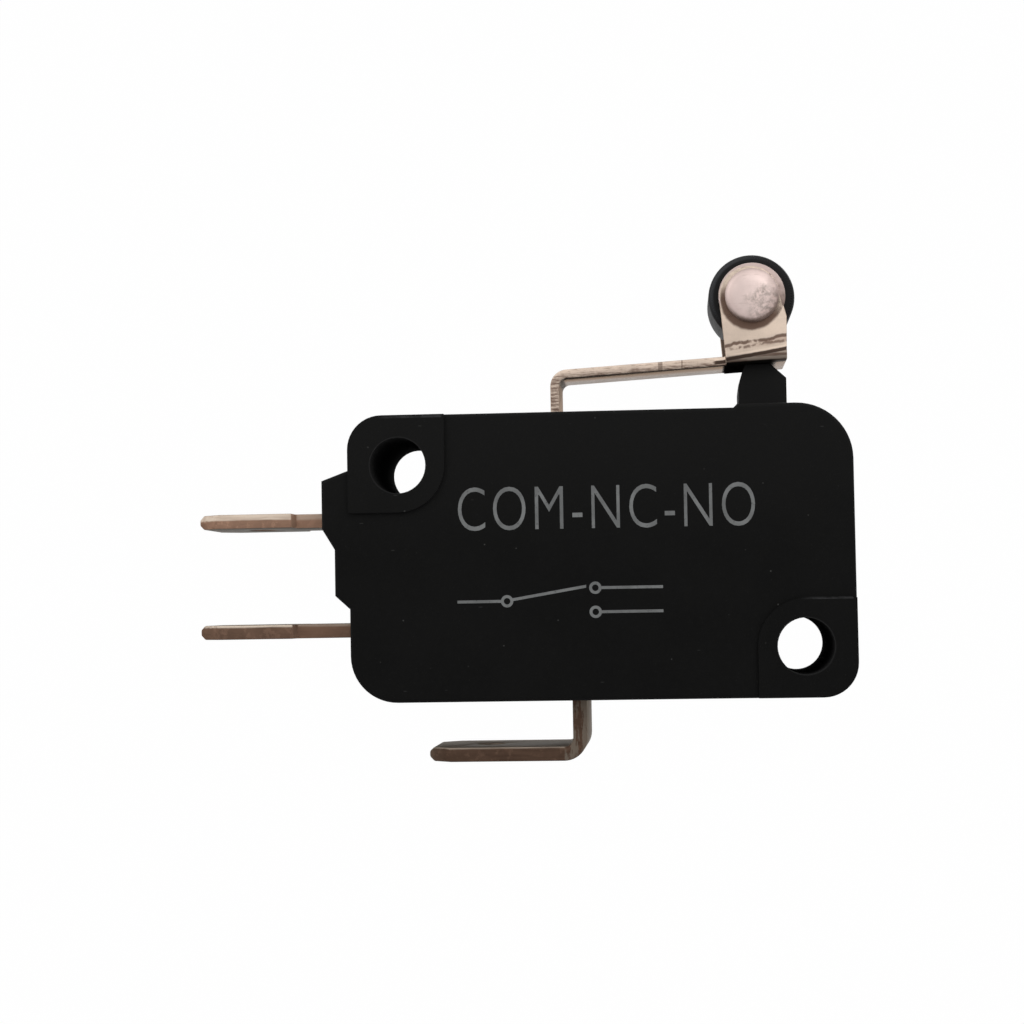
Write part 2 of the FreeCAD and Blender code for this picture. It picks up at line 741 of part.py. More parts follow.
# Toggle spring: a tension coil with an open loop at each end, drawn along X from the left loop

def make_spring():
    body = new_body("snap_spring", x="spring_left_x", z="spring_left_z", tilt="-spring_tilt")
    wire = new_sketch(body, "wire_section", "XZ_Plane", "0")
    draw_wire_section(wire, "hook_length", "coil_radius")
    coil = body.newObject("PartDesign::AdditiveHelix", "coil")
    coil.Profile = wire
    coil.ReferenceAxis = (origin_plane(body, "X_Axis"), [""])
    coil.Mode = "height-turns-angle"
    coil.setExpression("Height", bound("coil_length"))
    coil.setExpression("Turns", bound("coil_turns"))
    doc.recompute()
    loop(body, "left_loop", "hook_length", "-", "-hook_play")
    loop(body, "right_loop", "spring_span - hook_length", "", "spring_span")
    return body


def loop(body, name, start, sign, centre):
    """End loop: down from the last turn, along the axis and half round the hook bar."""
    outward = sign or "+"
    bend = "(coil_radius - hook_radius)"
    foot = f"({start} {outward} {bend})"
    section = new_sketch(body, name + "_bend_section", "XY_Plane", "coil_radius")
    draw_wire_section(section, start, "0")
    across = value(foot)
    axis = section.addGeometry(Part.LineSegment(Vector(across, -1, 0), Vector(across, 1, 0)), True)
    section.addConstraint(Sketcher.Constraint("Vertical", axis))
    fix(section, "DistanceX", axis, 1, foot)
    turn_wire(body, name + "_bend", section, "Axis0", 90, reverse=sign == "")
    ends = (foot, centre) if sign == "" else (centre, foot)
    extrude(body, name + "_shank", "YZ_Plane", *ends,
            lambda sketch: draw_wire_section(sketch, "0", "hook_radius"))
    ring = new_sketch(body, name + "_ring_section", "YZ_Plane", centre)
    draw_wire_section(ring, "0", "hook_radius")
    turn_wire(body, name + "_ring", ring, "H_Axis", 180, reverse=sign == "-")
    tail = f"({centre} {'-' if sign == '' else '+'} hook_radius / 2)"
    ends = (tail, centre) if sign == "" else (centre, tail)
    extrude(body, name + "_tail", "YZ_Plane", *ends,
            lambda sketch: draw_wire_section(sketch, "0", "-hook_radius"))


def turn_wire(body, name, section, axis, angle, reverse):
    """A bend in the wire: its section turned about an axis of its sketch."""
    bend = body.newObject("PartDesign::Revolution", name)
    bend.Profile = section
    bend.ReferenceAxis = (section, [axis])
    bend.Angle = angle
    bend.Reversed = reverse
    doc.recompute()


# Plunger: a waisted head outside, a retaining flange under the wall and a foot on the trip lever

def make_plunger():
    body = new_body("plunger")
    extrude(body, "stem", "XZ_Plane", "-plunger_depth / 2", "plunger_depth / 2",
            lambda sketch: draw_outline(sketch, [
                ("plunger_right", "tip_z - tip_shoulder"),
                ("-plunger_x + tip_right", "tip_z"),
                ("-plunger_x - tip_left", "tip_z"),
                ("plunger_left + flank_inset", "tip_z - flank_drop"),
                ("plunger_left", "tip_z - tip_flank"),
                ("plunger_left", "flange_top - flange_height"),
                ("-plunger_x - foot_radius", "foot_z + foot_radius"),
                ("-plunger_x", "foot_z",
                 ("-plunger_x - foot_radius * sqrt(0.5)",
                  "foot_z + foot_radius * (1 - sqrt(0.5))", "foot_radius")),
                ("-plunger_x + foot_radius", "foot_z + foot_radius",
                 ("-plunger_x + foot_radius * sqrt(0.5)",
                  "foot_z + foot_radius * (1 - sqrt(0.5))", "foot_radius")),
                ("plunger_right", "flange_top - flange_height")]))
    extrude(body, "flange", "XY_Plane", "flange_top - flange_height", "flange_top",
            lambda sketch: draw_box(sketch, "plunger_left", "-flange_depth / 2",
                                    "plunger_right", "flange_depth / 2"))
    return body


# Lever: leg with two round lugs, sloping arm, and a floor with two ears that hold the roller's pin

def make_lever():
    body = new_body("actuator_lever")
    top = "lever_thick / cos(arm_slope)"
    extrude(body, "strip", "XZ_Plane", "-lever_width / 2", "lever_width / 2",
            lambda sketch: draw_outline(sketch, [
                ("leg_left", "lever_pivot_level"),
                ("leg_right", "lever_pivot_level"),
                ("leg_right", "arm_level + lever_thick / 2 * arm_rise"),
                ("ear_right", "underside_ear_right"),
                ("ear_right", f"underside_ear_right + {top}"),
                ("leg_left", f"arm_level - lever_thick / 2 * arm_rise + {top}")]))
    dress(body, "Fillet", "inner_bend", "lever_bend", edges_at(
        body, "y", [("leg_right", "arm_level + lever_thick / 2 * arm_rise")]))
    dress(body, "Fillet", "outer_bend", "lever_bend + lever_thick", edges_at(
        body, "y", [("leg_left", f"arm_level - lever_thick / 2 * arm_rise + {top}")]))
    extrude(body, "lugs", "XZ_Plane", "-lug_span / 2", "lug_span / 2",
            lambda sketch: draw_circle(sketch, "-leg_x", "lever_pivot_level", "lug_radius"))
    extrude(body, "floor", "XZ_Plane", "-ear_outer", "ear_outer", lambda sketch: draw_outline(sketch, [
        ("ear_left", "underside_ear_left"),
        ("ear_right", "underside_ear_right"),
        ("ear_right", f"underside_ear_right + {top}"),
        ("ear_left", f"underside_ear_left + {top}")]))

    def ear(sketch):
        draw_outline(sketch, [
            ("ear_left", "underside_ear_left"),
            ("ear_right", "underside_ear_right"),
            ("ear_right", "roller_level - ear_shoulder_drop"),
            ("ear_top_x + ear_top_radius", "roller_level"),
            ("ear_top_x", "roller_level + ear_top_radius",
             ("ear_top_x + ear_top_radius * sqrt(0.5)", "roller_level + ear_top_radius * sqrt(0.5)",
              "ear_top_radius")),
            ("ear_top_x - ear_top_radius", "roller_level",
             ("ear_top_x - ear_top_radius * sqrt(0.5)", "roller_level + ear_top_radius * sqrt(0.5)",
              "ear_top_radius")),
            ("ear_left", "underside_ear_left + ear_root")])

    extrude(body, "rear_ear", "XZ_Plane", "ear_gap", "ear_outer", ear)
    extrude(body, "front_ear", "XZ_Plane", "-ear_outer", "-ear_gap", ear)
    dress(body, "Fillet", "fold", "ear_fold", slanted_edges(body))
    extrude(body, "pin_hole", "XZ_Plane", "-ear_outer - overcut", "ear_outer + overcut",
            lambda sketch: draw_circle(sketch, "-roller_x", "roller_level", "pin_radius"), cut=True)
    return body


def slanted_edges(body):
    """The two long edges under the floor that the ears are folded along."""
    names = []
    for number, edge in enumerate(body.Tip.Shape.Edges, start=1):
        middle = edge.CenterOfMass
        level = value("(underside_ear_left + underside_ear_right) / 2")
        if abs(abs(middle.y) - value("ear_outer")) < SAME and abs(middle.z - level) < SAME:
            names.append(f"Edge{number}")
    return names


# Roller and pin, both turned about the pin's axis along Y

def make_roller():
    body = new_body("roller", x="-roller_x", z="roller_level")

    def ring(sketch):
        draw_circle(sketch, "0", "0", "roller_radius")
        draw_circle(sketch, "0", "0", "pin_radius + roller_fit")

    extrude(body, "ring", "XZ_Plane", "-roller_width / 2", "roller_width / 2", ring)
    rims = [f"Edge{number}" for number, edge in enumerate(body.Tip.Shape.Edges, start=1)
            if edge.Curve.TypeId == "Part::GeomCircle"
            and abs(edge.Curve.Radius - value("roller_radius")) < SAME]
    dress(body, "Chamfer", "rim_round", "roller_round", rims)
    return body


def make_pin():
    """A rivet pin: domed head in front, shank through both ears, peened end behind."""
    body = new_body("roller_pin", x="-roller_x", z="roller_level")
    sketch = new_sketch(body, "profile", "YZ_Plane", "0")
    draw_outline(sketch, [
        ("-ear_outer - pin_head_height", "0"),
        ("ear_outer + pin_peen_height", "0"),
        ("ear_outer + pin_peen_height", "pin_peen_radius - pin_peen_bevel"),
        ("ear_outer + pin_peen_height - pin_peen_bevel", "pin_peen_radius"),
        ("ear_outer", "pin_peen_radius"),
        ("ear_outer", "pin_radius"),
        ("-ear_outer", "pin_radius"),
        ("-ear_outer", "pin_head_radius"),
        ("-ear_outer - pin_head_height + pin_head_bevel", "pin_head_radius"),
        ("-ear_outer - pin_head_height", "pin_head_radius - pin_head_bevel")])
    shank = body.newObject("PartDesign::Revolution", "shank")
    shank.Profile = sketch
    shank.ReferenceAxis = (sketch, ["H_Axis"])
    shank.Angle = 360
    doc.recompute()
    return body


bodies = [
    make_case(),
    make_cover(),
    make_contact_terminal("nc_terminal", "nc_level", "nc_inner"),
    make_contact_terminal("no_terminal", "no_level", "no_inner"),
    make_common_terminal(),
    make_fixed_contact("nc_contact", "nc_seat", faces_up=False),
    make_fixed_contact("no_contact", "no_seat", faces_up=True),
    make_moving_contact(),
    make_contact_arm(),
    make_trip_lever(),
    make_spring(),
    make_plunger(),
    make_lever(),
    make_roller(),
    make_pin(),
]

doc.recompute()
for item in doc.Objects:
    if {"Invalid", "Error"} & set(item.State):
        raise RuntimeError(f"{item.Name} failed: {item.State}")
for body in bodies:
    if body.Shape.isNull() or not body.Shape.isValid():
        raise RuntimeError(f"{body.Label} has no valid shape")

os.makedirs("parts", exist_ok=True)
for body in bodies:
    body.Shape.exportStep(f"parts/{body.Label}.step")
    box = body.Shape.BoundBox
    print(f"{body.Label}: {box.XLength:.2f} x {box.YLength:.2f} x {box.ZLength:.2f},"
          f" {body.Shape.Volume:.2f} mm3, {len(body.Shape.Solids)} solid")
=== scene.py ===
import bmesh
import bpy
import math
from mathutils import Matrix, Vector


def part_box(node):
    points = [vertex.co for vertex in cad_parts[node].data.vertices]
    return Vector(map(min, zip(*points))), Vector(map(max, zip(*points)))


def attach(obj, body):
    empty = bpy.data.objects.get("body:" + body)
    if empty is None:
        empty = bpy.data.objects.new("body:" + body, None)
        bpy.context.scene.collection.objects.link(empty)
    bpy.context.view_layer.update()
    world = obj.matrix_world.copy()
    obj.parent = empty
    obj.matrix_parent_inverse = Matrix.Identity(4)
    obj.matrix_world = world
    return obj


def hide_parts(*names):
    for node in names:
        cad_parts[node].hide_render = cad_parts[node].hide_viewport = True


bl_info = {
    "name": "Lever Micro Switch",
    "version": (1, 0, 0),
    "blender": (4, 5, 0),
    "location": "3D View > Sidebar > Micro Switch",
    "description": "Dresses a snap-action switch with a hinge roller lever",
    "category": "Object",
}

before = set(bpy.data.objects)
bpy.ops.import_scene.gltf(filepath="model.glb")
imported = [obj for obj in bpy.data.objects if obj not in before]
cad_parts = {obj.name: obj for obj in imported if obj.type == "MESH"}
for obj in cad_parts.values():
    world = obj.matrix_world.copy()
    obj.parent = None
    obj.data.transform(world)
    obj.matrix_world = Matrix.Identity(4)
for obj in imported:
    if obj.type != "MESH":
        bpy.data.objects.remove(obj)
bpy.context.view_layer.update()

MM = 0.001
QUARTER = math.pi / 2
SMALL = 1e-6
# Longer than any hole is deep
THROUGH = 8 * MM
# Turns that lay an upright tool along an axis
ALONG = {"X": (0, QUARTER, 0), "Y": (QUARTER, 0, 0), "Z": (0, 0, 0)}
# Edges flatter than this are shaded smooth
SMOOTH_BELOW = math.radians(32)

CASE_LOW, CASE_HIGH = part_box("case")
ROLLER_LOW, ROLLER_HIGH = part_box("roller")
PIN_LOW, PIN_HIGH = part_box("roller_pin")
PLUNGER_LOW, PLUNGER_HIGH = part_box("plunger")
COMMON_LOW, COMMON_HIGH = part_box("com_terminal")
ROLLER_MIDDLE = (ROLLER_LOW + ROLLER_HIGH) / 2
ROLLER_RADIUS = (ROLLER_HIGH.x - ROLLER_LOW.x) / 2
# Mounting holes, from one to the other, and their radius in millimetres
HOLE_PITCH = Vector((-22.2, 0, 10.3)) * MM
HOLE_RADIUS = 1.55
# The marked face lies this much behind the raised pads, and the top's low land below its ends
PAD_RISE = 0.2 * MM
# Where the cover meets the case, along Y in millimetres
COVER_SEAM = 3.75
# The raised pads' upper edges, where a painted highlight runs: level, left end and right end, in
# millimetres
PAD_EDGES = ((2.6, 0.1, 2.62), (12.98, -22.9, -19.7))


# Settings of the panel

def length(name, description, millimetres):
    return bpy.props.FloatProperty(name=name, description=description, default=millimetres * MM,
                                   unit="LENGTH", precision=5)


def slope(name, description, degrees):
    return bpy.props.FloatProperty(name=name, description=description, default=math.radians(degrees),
                                   subtype="ANGLE")


def colour(name, description, red, green, blue):
    return bpy.props.FloatVectorProperty(name=name, description=description, subtype="COLOR", size=3,
                                         min=0, max=1, default=(red, green, blue))


class SwitchSizes(bpy.types.PropertyGroup):
    """Lengths of the modelled pieces."""
    strip_thickness: length("Lever strip", "Thickness of the lever's sheet", 0.5)
    strip_width: length("Strip width", "Width of the lever's leg and arm", 4.0)
    strip_edge: length("Strip edge", "Rounding of the lever's edges", 0.06)
    strip_bend: length("Lever bend", "Inner radius of the bend above the leg", 0.45)
    leg_middle: length("Leg", "Middle of the leg along the case", -13.6)
    leg_foot: length("Leg foot", "Level of the lever's pivot", 12.3)
    arm_level: length("Arm level", "Underside of the arm above the leg", 15.2)
    arm_slope: slope("Arm slope", "Rise of the arm toward the roller", 3.2)
    lug_radius: length("Lug radius", "Radius of the lugs that the lever turns on", 0.3)
    lug_span: length("Lug span", "Length over both lugs", 5.6)
    ear_gap: length("Ear gap", "From the middle to the inner face of an ear", 2.5)
    ear_bend: length("Ear bend", "Inner radius of the bends below the ears", 0.05)
    ear_foot_left: length("Ear foot, left", "Left end of the ear at the floor", -3.95)
    ear_foot_right: length("Ear foot, right", "Right end of the ear at the floor", -0.55)
    ear_half: length("Ear half width", "Radius of the ear's round top", 1.72)
    ear_shift: length("Ear shift", "From the pin's axis to the middle of the ear's top", -0.13)
    ear_shoulder: length("Ear shoulder", "Level where the ear's right edge starts to lean in", 18.3)
    pin_hole: length("Pin hole", "Radius of the holes in the ears", 0.97)
    terminal_thickness: length("Terminal strip", "Thickness of the terminal strips", 0.8)
    blade_root: length("Blade root", "Where the wide part of a side tab ends", -28.45)
    blade_shoulder: length("Shoulder", "Length over which the blade narrows to the neck", 0.06)
    neck_width: length("Neck width", "Width of the terminals inside the collar", 4.0)
    tip_reach: length("Tip", "Length over which a tab's tip narrows", 1.3)
    tip_taper: length("Tip taper", "How much narrower the tip's end is, on each side", 1.2)
    tip_chamfer: length("Tip chamfer", "Length of the chamfers above and below the tip", 0.28)
    tip_waist: length("Tip waist", "How much narrower the tab is where the chamfers end", 0.95)
    tip_drop: length("Tip drop", "Depth of the chamfers above and below the tip", 0.25)
    collar_depth: length("Collar", "From the collar's face to the back of the wall behind it", 2.72)
    joggle: length("Joggle", "Height of the step inside the case", 0.5)
    joggle_run: length("Joggle run", "Length of the step inside the case", 0.6)
    contact_place: length("Contact place", "Rivet hole of a fixed contact", -20.3)
    rivet_radius: length("Rivet radius", "Radius of a fixed contact's rivet hole", 0.75)
    detent_setback: length("Detent setback", "From a tab's tip to its detent hole", 3.3)
    detent_radius: length("Detent radius", "Radius of a tab's detent hole", 0.8)
    common_bend: length("Common bend", "Inner radius of the bend below the case", 0.5)
    window_level: length("Window level", "Middle of the window in the common terminal's post", 4.45)
    window_width: length("Window width", "Width of the window", 3.0)
    window_height: length("Window height", "Height of the window", 3.8)
    burr: length("Sheared edge", "Rounding of stamped edges", 0.07)
    stem_depth: length("Plunger depth", "Depth of the plunger's stem and head", 3.8)
    flange_depth: length("Flange depth", "Depth of the plunger's retaining flange", 6.0)
    flange_height: length("Flange height", "Height of the flange", 1.3)
    top_wall: length("Top wall", "From the low land to the top of the flange at rest", 1.23)
    plunger_edge: length("Plunger edge", "Rounding of the plunger's edges", 0.09)
    rim: length("Roller rim", "Rounding of the roller's rims", 0.3)
    roller_bore: length("Roller bore", "Radius of the roller's bore", 0.99)
    pin_radius: length("Pin", "Radius of the pin between its ends", 0.95)
    ink: length("Ink", "Thickness of the printed marks", 0.02)
    ring_radius: length("Symbol ring", "Outer radius of the symbol's rings", 0.34)
    stroke: length("Stroke", "Width of the printed lines", 0.16)


class SwitchColours(bpy.types.PropertyGroup):
    """Base colours of the finishes."""
    housing: colour("Housing", "Moulded housing", 0.0045, 0.0045, 0.0044)
    button: colour("Plunger", "Moulded plunger", 0.0060, 0.0060, 0.0059)
    tread: colour("Roller", "Moulded roller", 0.0050, 0.0050, 0.0052)
    nickel: colour("Lever", "Plated lever strip", 0.60, 0.49, 0.405)
    # Besides real streaks, this colour paints the lever's shade: the bend's shadow line, under the pin's
    # head, on the rear ear's inner face and under the floor
    stain_and_shade: colour("Lever streaks", "Dark streaks on the lever strip", 0.075, 0.042, 0.03)
    rivet: colour("Pin", "Plated roller pin", 0.66, 0.535, 0.50)
    tin: colour("Tin", "Plated faces of the terminals", 0.30, 0.25, 0.20)
    # Partly the burnished band of the cut and partly a painted highlight along the edge's top
    burnish_and_edge_highlight: colour("Burnished edge", "Bright line that the cut leaves on the terminals", 0.70, 0.60, 0.50)
    copper: colour("Sheared copper", "Sheared edges of the terminals", 0.20, 0.122, 0.085)
    silver: colour("Contact silver", "Contact buttons", 0.80, 0.78, 0.74)
    bronze: colour("Bronze", "Rocking frames", 0.55, 0.30, 0.14)
    steel: colour("Spring steel", "Toggle spring", 0.36, 0.35, 0.33)
    ink: colour("Ink", "Printed marks", 0.17, 0.175, 0.175)


# Finishes

class Level:
    """One number that changes over the surface; arithmetic on it adds Math nodes."""

    def __init__(self, nodes, socket):
        self.nodes = nodes
        self.socket = socket

    def _maths(self, operation, first, second):
        node = self.nodes.node("ShaderNodeMath", {"operation": operation}, {0: first, 1: second})
        return Level(self.nodes, node.outputs[0])

    def __add__(self, other):
        return self._maths("ADD", self, other)

    def __radd__(self, other):
        return self._maths("ADD", other, self)

    def __sub__(self, other):
        return self._maths("SUBTRACT", self, other)

    def __rsub__(self, other):
        return self._maths("SUBTRACT", other, self)

    def __mul__(self, other):
        return self._maths("MULTIPLY", self, other)

    def __rmul__(self, other):
        return self._maths("MULTIPLY", other, self)

    def __abs__(self):
        return self._maths("ABSOLUTE", self, 0.0)

    def root(self):
        return self._maths("SQRT", self, 0.0)

    def fraction(self):
        return self._maths("FRACT", self, 0.0)

    def or_more(self, other):
        return self._maths("MAXIMUM", self, other)

    def ramp(self, low, high):
        """0 below low, 1 above high and a smooth rise between; low above high turns it round."""
        node = self.nodes.node("ShaderNodeMapRange", {"interpolation_type": "SMOOTHSTEP"},
                               {"Value": self, "From Min": low, "From Max": high})
        return Level(self.nodes, node.outputs["Result"])

    def band(self, middle, half, soft):
        """1 within half of middle, and 0 from soft beyond that."""
        return abs(self - middle).ramp(half + soft, half)


class Nodes:
    """A node tree in the making."""

    def __init__(self, tree):
        self.tree = tree

    def feed(self, node, sockets):
        """Give sockets, by name or number, their values or links."""
        for name, given in sockets.items():
            socket = node.inputs[name]
            if isinstance(given, Level):
                given = given.socket
            if isinstance(given, bpy.types.NodeSocket):
                self.tree.links.new(given, socket)
            else:
                socket.default_value = given

    def node(self, kind, settings=None, sockets=None):
        """One node: its settings first, then the values or links of its sockets."""
        node = self.tree.nodes.new(kind)
        for name, given in (settings or {}).items():
            setattr(node, name, given)
        self.feed(node, sockets or {})
        return node

    def rays(self):
        """Numbers that are 1 for camera, glossy and transmission rays in turn, and 0 for others."""
        path = self.node("ShaderNodeLightPath")
        return [Level(self, path.outputs[kind])
                for kind in ("Is Camera Ray", "Is Glossy Ray", "Is Transmission Ray")]


class Finish(Nodes):
    """A material in the making. Its coordinates are the piece's own, in millimetres."""

    def __init__(self, name, sockets):
        self.material = bpy.data.materials.new(name)
        self.material.use_nodes = True
        super().__init__(self.material.node_tree)
        self.shader = self.tree.nodes["Principled BSDF"]
        self.feed(self.shader, sockets)
        place = self.node("ShaderNodeTexCoord")
        self.place = self.node("ShaderNodeMapping", {}, {
            "Vector": place.outputs["Object"], "Scale": (1 / MM, 1 / MM, 1 / MM)}).outputs["Vector"]
        apart = self.node("ShaderNodeSeparateXYZ", {}, {"Vector": self.place})
        self.x, self.y, self.z = (Level(self, apart.outputs[axis]) for axis in "XYZ")
        normal = self.node("ShaderNodeSeparateXYZ", {}, {"Vector": place.outputs["Normal"]})
        self.normal_y = Level(self, normal.outputs["Y"])
        self.normal_z = Level(self, normal.outputs["Z"])
        self.facing_y = abs(self.normal_y)

    def _pattern(self, kind, output, stretch, shift, sockets):
        """A texture on stretched and shifted coordinates."""
        place = self.node("ShaderNodeMapping", {}, {
            "Vector": self.place, "Scale": stretch, "Location": shift}).outputs["Vector"]
        return Level(self, self.node(kind, {}, {"Vector": place, **sockets}).outputs[output])

    def noise(self, scale, detail=2.0, rough=0.5, stretch=(1, 1, 1), shift=(0, 0, 0)):
        """Cloudy pattern of about scale features to the millimetre."""
        return self._pattern("ShaderNodeTexNoise", "Fac", stretch, shift, {
            "Scale": scale, "Detail": detail, "Roughness": rough})

    def cells(self, scale, stretch=(1, 1, 1), shift=(0, 0, 0)):
        """Distance to the nearest of scattered points, about scale points to the millimetre."""
        return self._pattern("ShaderNodeTexVoronoi", "Distance", stretch, shift, {"Scale": scale})

    def blend(self, factor, first, second):
        """Colour between first, where factor is 0, and second, where it is 1."""
        first, second = ((*given, 1) if isinstance(given, tuple) else given for given in (first, second))
        node = self.node("ShaderNodeMix", {"data_type": "RGBA"}, {
            "Factor": factor, 6: first, 7: second})
        return node.outputs[2]

    def shaded(self, pattern, base, dark, light):
        """The base colour times dark where a pattern is low, and times light where it is high."""
        return self.blend(pattern.ramp(0.3, 0.7), tinted(base, dark), tinted(base, light))

    def layers(self, tone, *coats):
        """Lay coats over a tone: each has a factor, a colour and, where not 1, how bright that is."""
        for factor, base, *bright in coats:
            tone = self.blend(factor, tone, tinted(base, *bright))
        return tone

    def from_axis(self, x, z):
        """Distance from the axis along Y that passes through x and z."""
        across, up = self.x - x, self.z - z
        return (across * across + up * up).root()

    def mix_in(self, factor, other):
        """Another shader in place of this finish's own, where factor is 1."""
        mixed = self.node("ShaderNodeMixShader", {}, {
            0: factor, 1: self.shader.outputs[0], 2: other.outputs[0]})
        self.feed(self.tree.nodes["Material Output"], {"Surface": mixed.outputs[0]})

    def deaden(self, factor, shade):
        """A flat shade without any gloss, where factor is 1."""
        self.mix_in(factor, self.node("ShaderNodeBsdfDiffuse", {}, {"Color": shade}))

    def bump(self, height, depth):
        """Relief of the given height pattern, depth millimetres from its 0 to its 1."""
        node = self.node("ShaderNodeBump", {}, {
            "Height": height, "Strength": 1.0, "Distance": depth * MM})
        self.feed(self.shader, {"Normal": node.outputs["Normal"]})

    def surface(self, tone, height, depth, **sockets):
        """The finished material: its colour, its relief as in bump, and the shader's other sockets."""
        self.feed(self.shader, {"Base Color": tone, **sockets})
        self.bump(height, depth)
        return self.material


def tinted(base, factor=1.0):
    return tuple(min(1.0, part * factor) for part in base)


def moulded(name, base, rough, grain, dust):
    """Black moulding with an eroded matt skin, cloudy tone and a few dust specks, painted lighter towards
    the top as painted light; also its tone so far.
    """
    finish = Finish(name, {"Specular IOR Level": 0.05})
    cloud = finish.noise(0.22, 3.0, 0.55)
    mottle = finish.noise(2.6, 4.0, 0.65)
    specks = finish.cells(1.15).ramp(0.07, 0.03) * finish.noise(0.8, 1.0).ramp(0.52, 0.62)
    fibres = finish.cells(0.9, stretch=(0.35, 1.6, 1.6), shift=(4, 2, 7)).ramp(0.05, 0.02)
    tone = finish.layers(
        finish.shaded(cloud, base, 0.88, 1.14),
        (mottle.ramp(0.35, 0.75) * 0.45, base, 1.45),
        # Painted light: the moulding is lighter towards the top
        (finish.z.ramp(3.0, 13.5) * 0.75, base, 1.9),
        (specks * dust, (0.05, 0.05, 0.048)),
        (fibres * dust * 0.7, (0.035, 0.035, 0.034)))
    finish.surface(tone, finish.noise(9.0, 3.0, 0.7) + 0.35 * finish.noise(30.0, 2.0, 0.6), grain,
                   Roughness=rough + 0.12 * (mottle - 0.5) + 0.1 * specks)
    return finish, tone


def housing_finish(colours):
    """The case's moulding: a painted highlight along the raised pads' upper edges, the cover's seam as a
    dark line with a painted highlight beside it, and painted shade in the bores.
    """
    finish, tone = moulded("housing_moulding", tuple(colours.housing), rough=0.62, grain=0.010, dust=1.0)
    wear_and_highlight_gaps = finish.noise(2.0, 3.0, 0.6).ramp(0.3, 0.6)
    # Painted highlight along the raised pads' upper edges, broken into gaps by a noise
    for edge, start, end in PAD_EDGES:
        line = finish.z.band(edge, 0.035, 0.05) * finish.x.ramp(start - 0.5, start + 0.5)
        line = line * finish.x.ramp(end + 0.02, end - 0.08) * finish.y.ramp(-4.8, -5.0)
        tone = finish.blend(line * (0.3 + 0.7 * wear_and_highlight_gaps), tone, (0.034, 0.034, 0.035))
    walls = finish.facing_y.ramp(0.5, 0.3)
    # Along the cover's seam: a dark line, and just beside it a lighter line that is a painted highlight on
    # the seam's edge
    for shift, weight, shade in ((0.0, 1.0, 0.001), (0.05, 0.6, 0.028)):
        line = finish.y.band(COVER_SEAM + shift, 0.012, 0.02) * walls
        tone = finish.blend(line * weight, tone, (shade, shade, shade))
    finish.feed(finish.shader, {"Base Color": tone})
    # Painted shade in the bores: their walls lose their gloss and take a flat colour
    from_holes = (finish.from_axis(hole.x / MM, hole.z / MM) for hole in (Vector(), HOLE_PITCH))
    lower, upper = (away.ramp(HOLE_RADIUS + 0.07, HOLE_RADIUS + 0.01) for away in from_holes)
    finish.deaden(lower + upper, (0.022, 0.022, 0.022, 1))
    return finish.material


def plunger_finish(colours):
    """A little smoother than the case, and with less dust."""
    finish, _ = moulded("plunger_moulding", tuple(colours.button), rough=0.55, grain=0.006, dust=0.25)
    return finish.material


def roller_finish(colours):
    """Turned wheel: fine rings round the pin, and a painted highlight that runs grey round the rims on the
    upper left.
    """
    base = tuple(colours.tread)
    finish = Finish("roller_moulding", {"Specular IOR Level": 0.12})
    middle, radius = ROLLER_MIDDLE / MM, ROLLER_RADIUS / MM
    away = finish.from_axis(middle.x, middle.z)
    rings = finish.noise(7.0, 2.0, 0.6, stretch=(0.02, 1.0, 0.02))
    turned = (away * 9.0 + finish.noise(0.8) * 2.0).fraction()
    scuff = finish.noise(1.6, 4.0, 0.7)
    side = middle.z * 0.6 - middle.x * 0.8
    upper_left = (finish.z * 0.6 - finish.x * 0.8).ramp(side, side + radius)
    # Painted highlight: a grey crescent on the rims' upper left side
    painted_rim_highlight = away.band(radius - 0.17, 0.03, 0.12) * upper_left
    tone = finish.layers(
        finish.blend(rings.ramp(0.3, 0.75), tinted(base, 0.8), tinted(base, 1.5)),
        (turned.band(0.5, 0.1, 0.35) * 0.3, base, 2.2),
        (scuff.ramp(0.55, 0.75) * 0.5, base, 2.6),
        (painted_rim_highlight * (0.35 + 0.5 * scuff), (0.055, 0.057, 0.062)))
    return finish.surface(tone, rings * 0.6 + finish.noise(12.0, 2.0, 0.6) * 0.25, 0.012,
                          Roughness=0.36 + 0.22 * scuff)


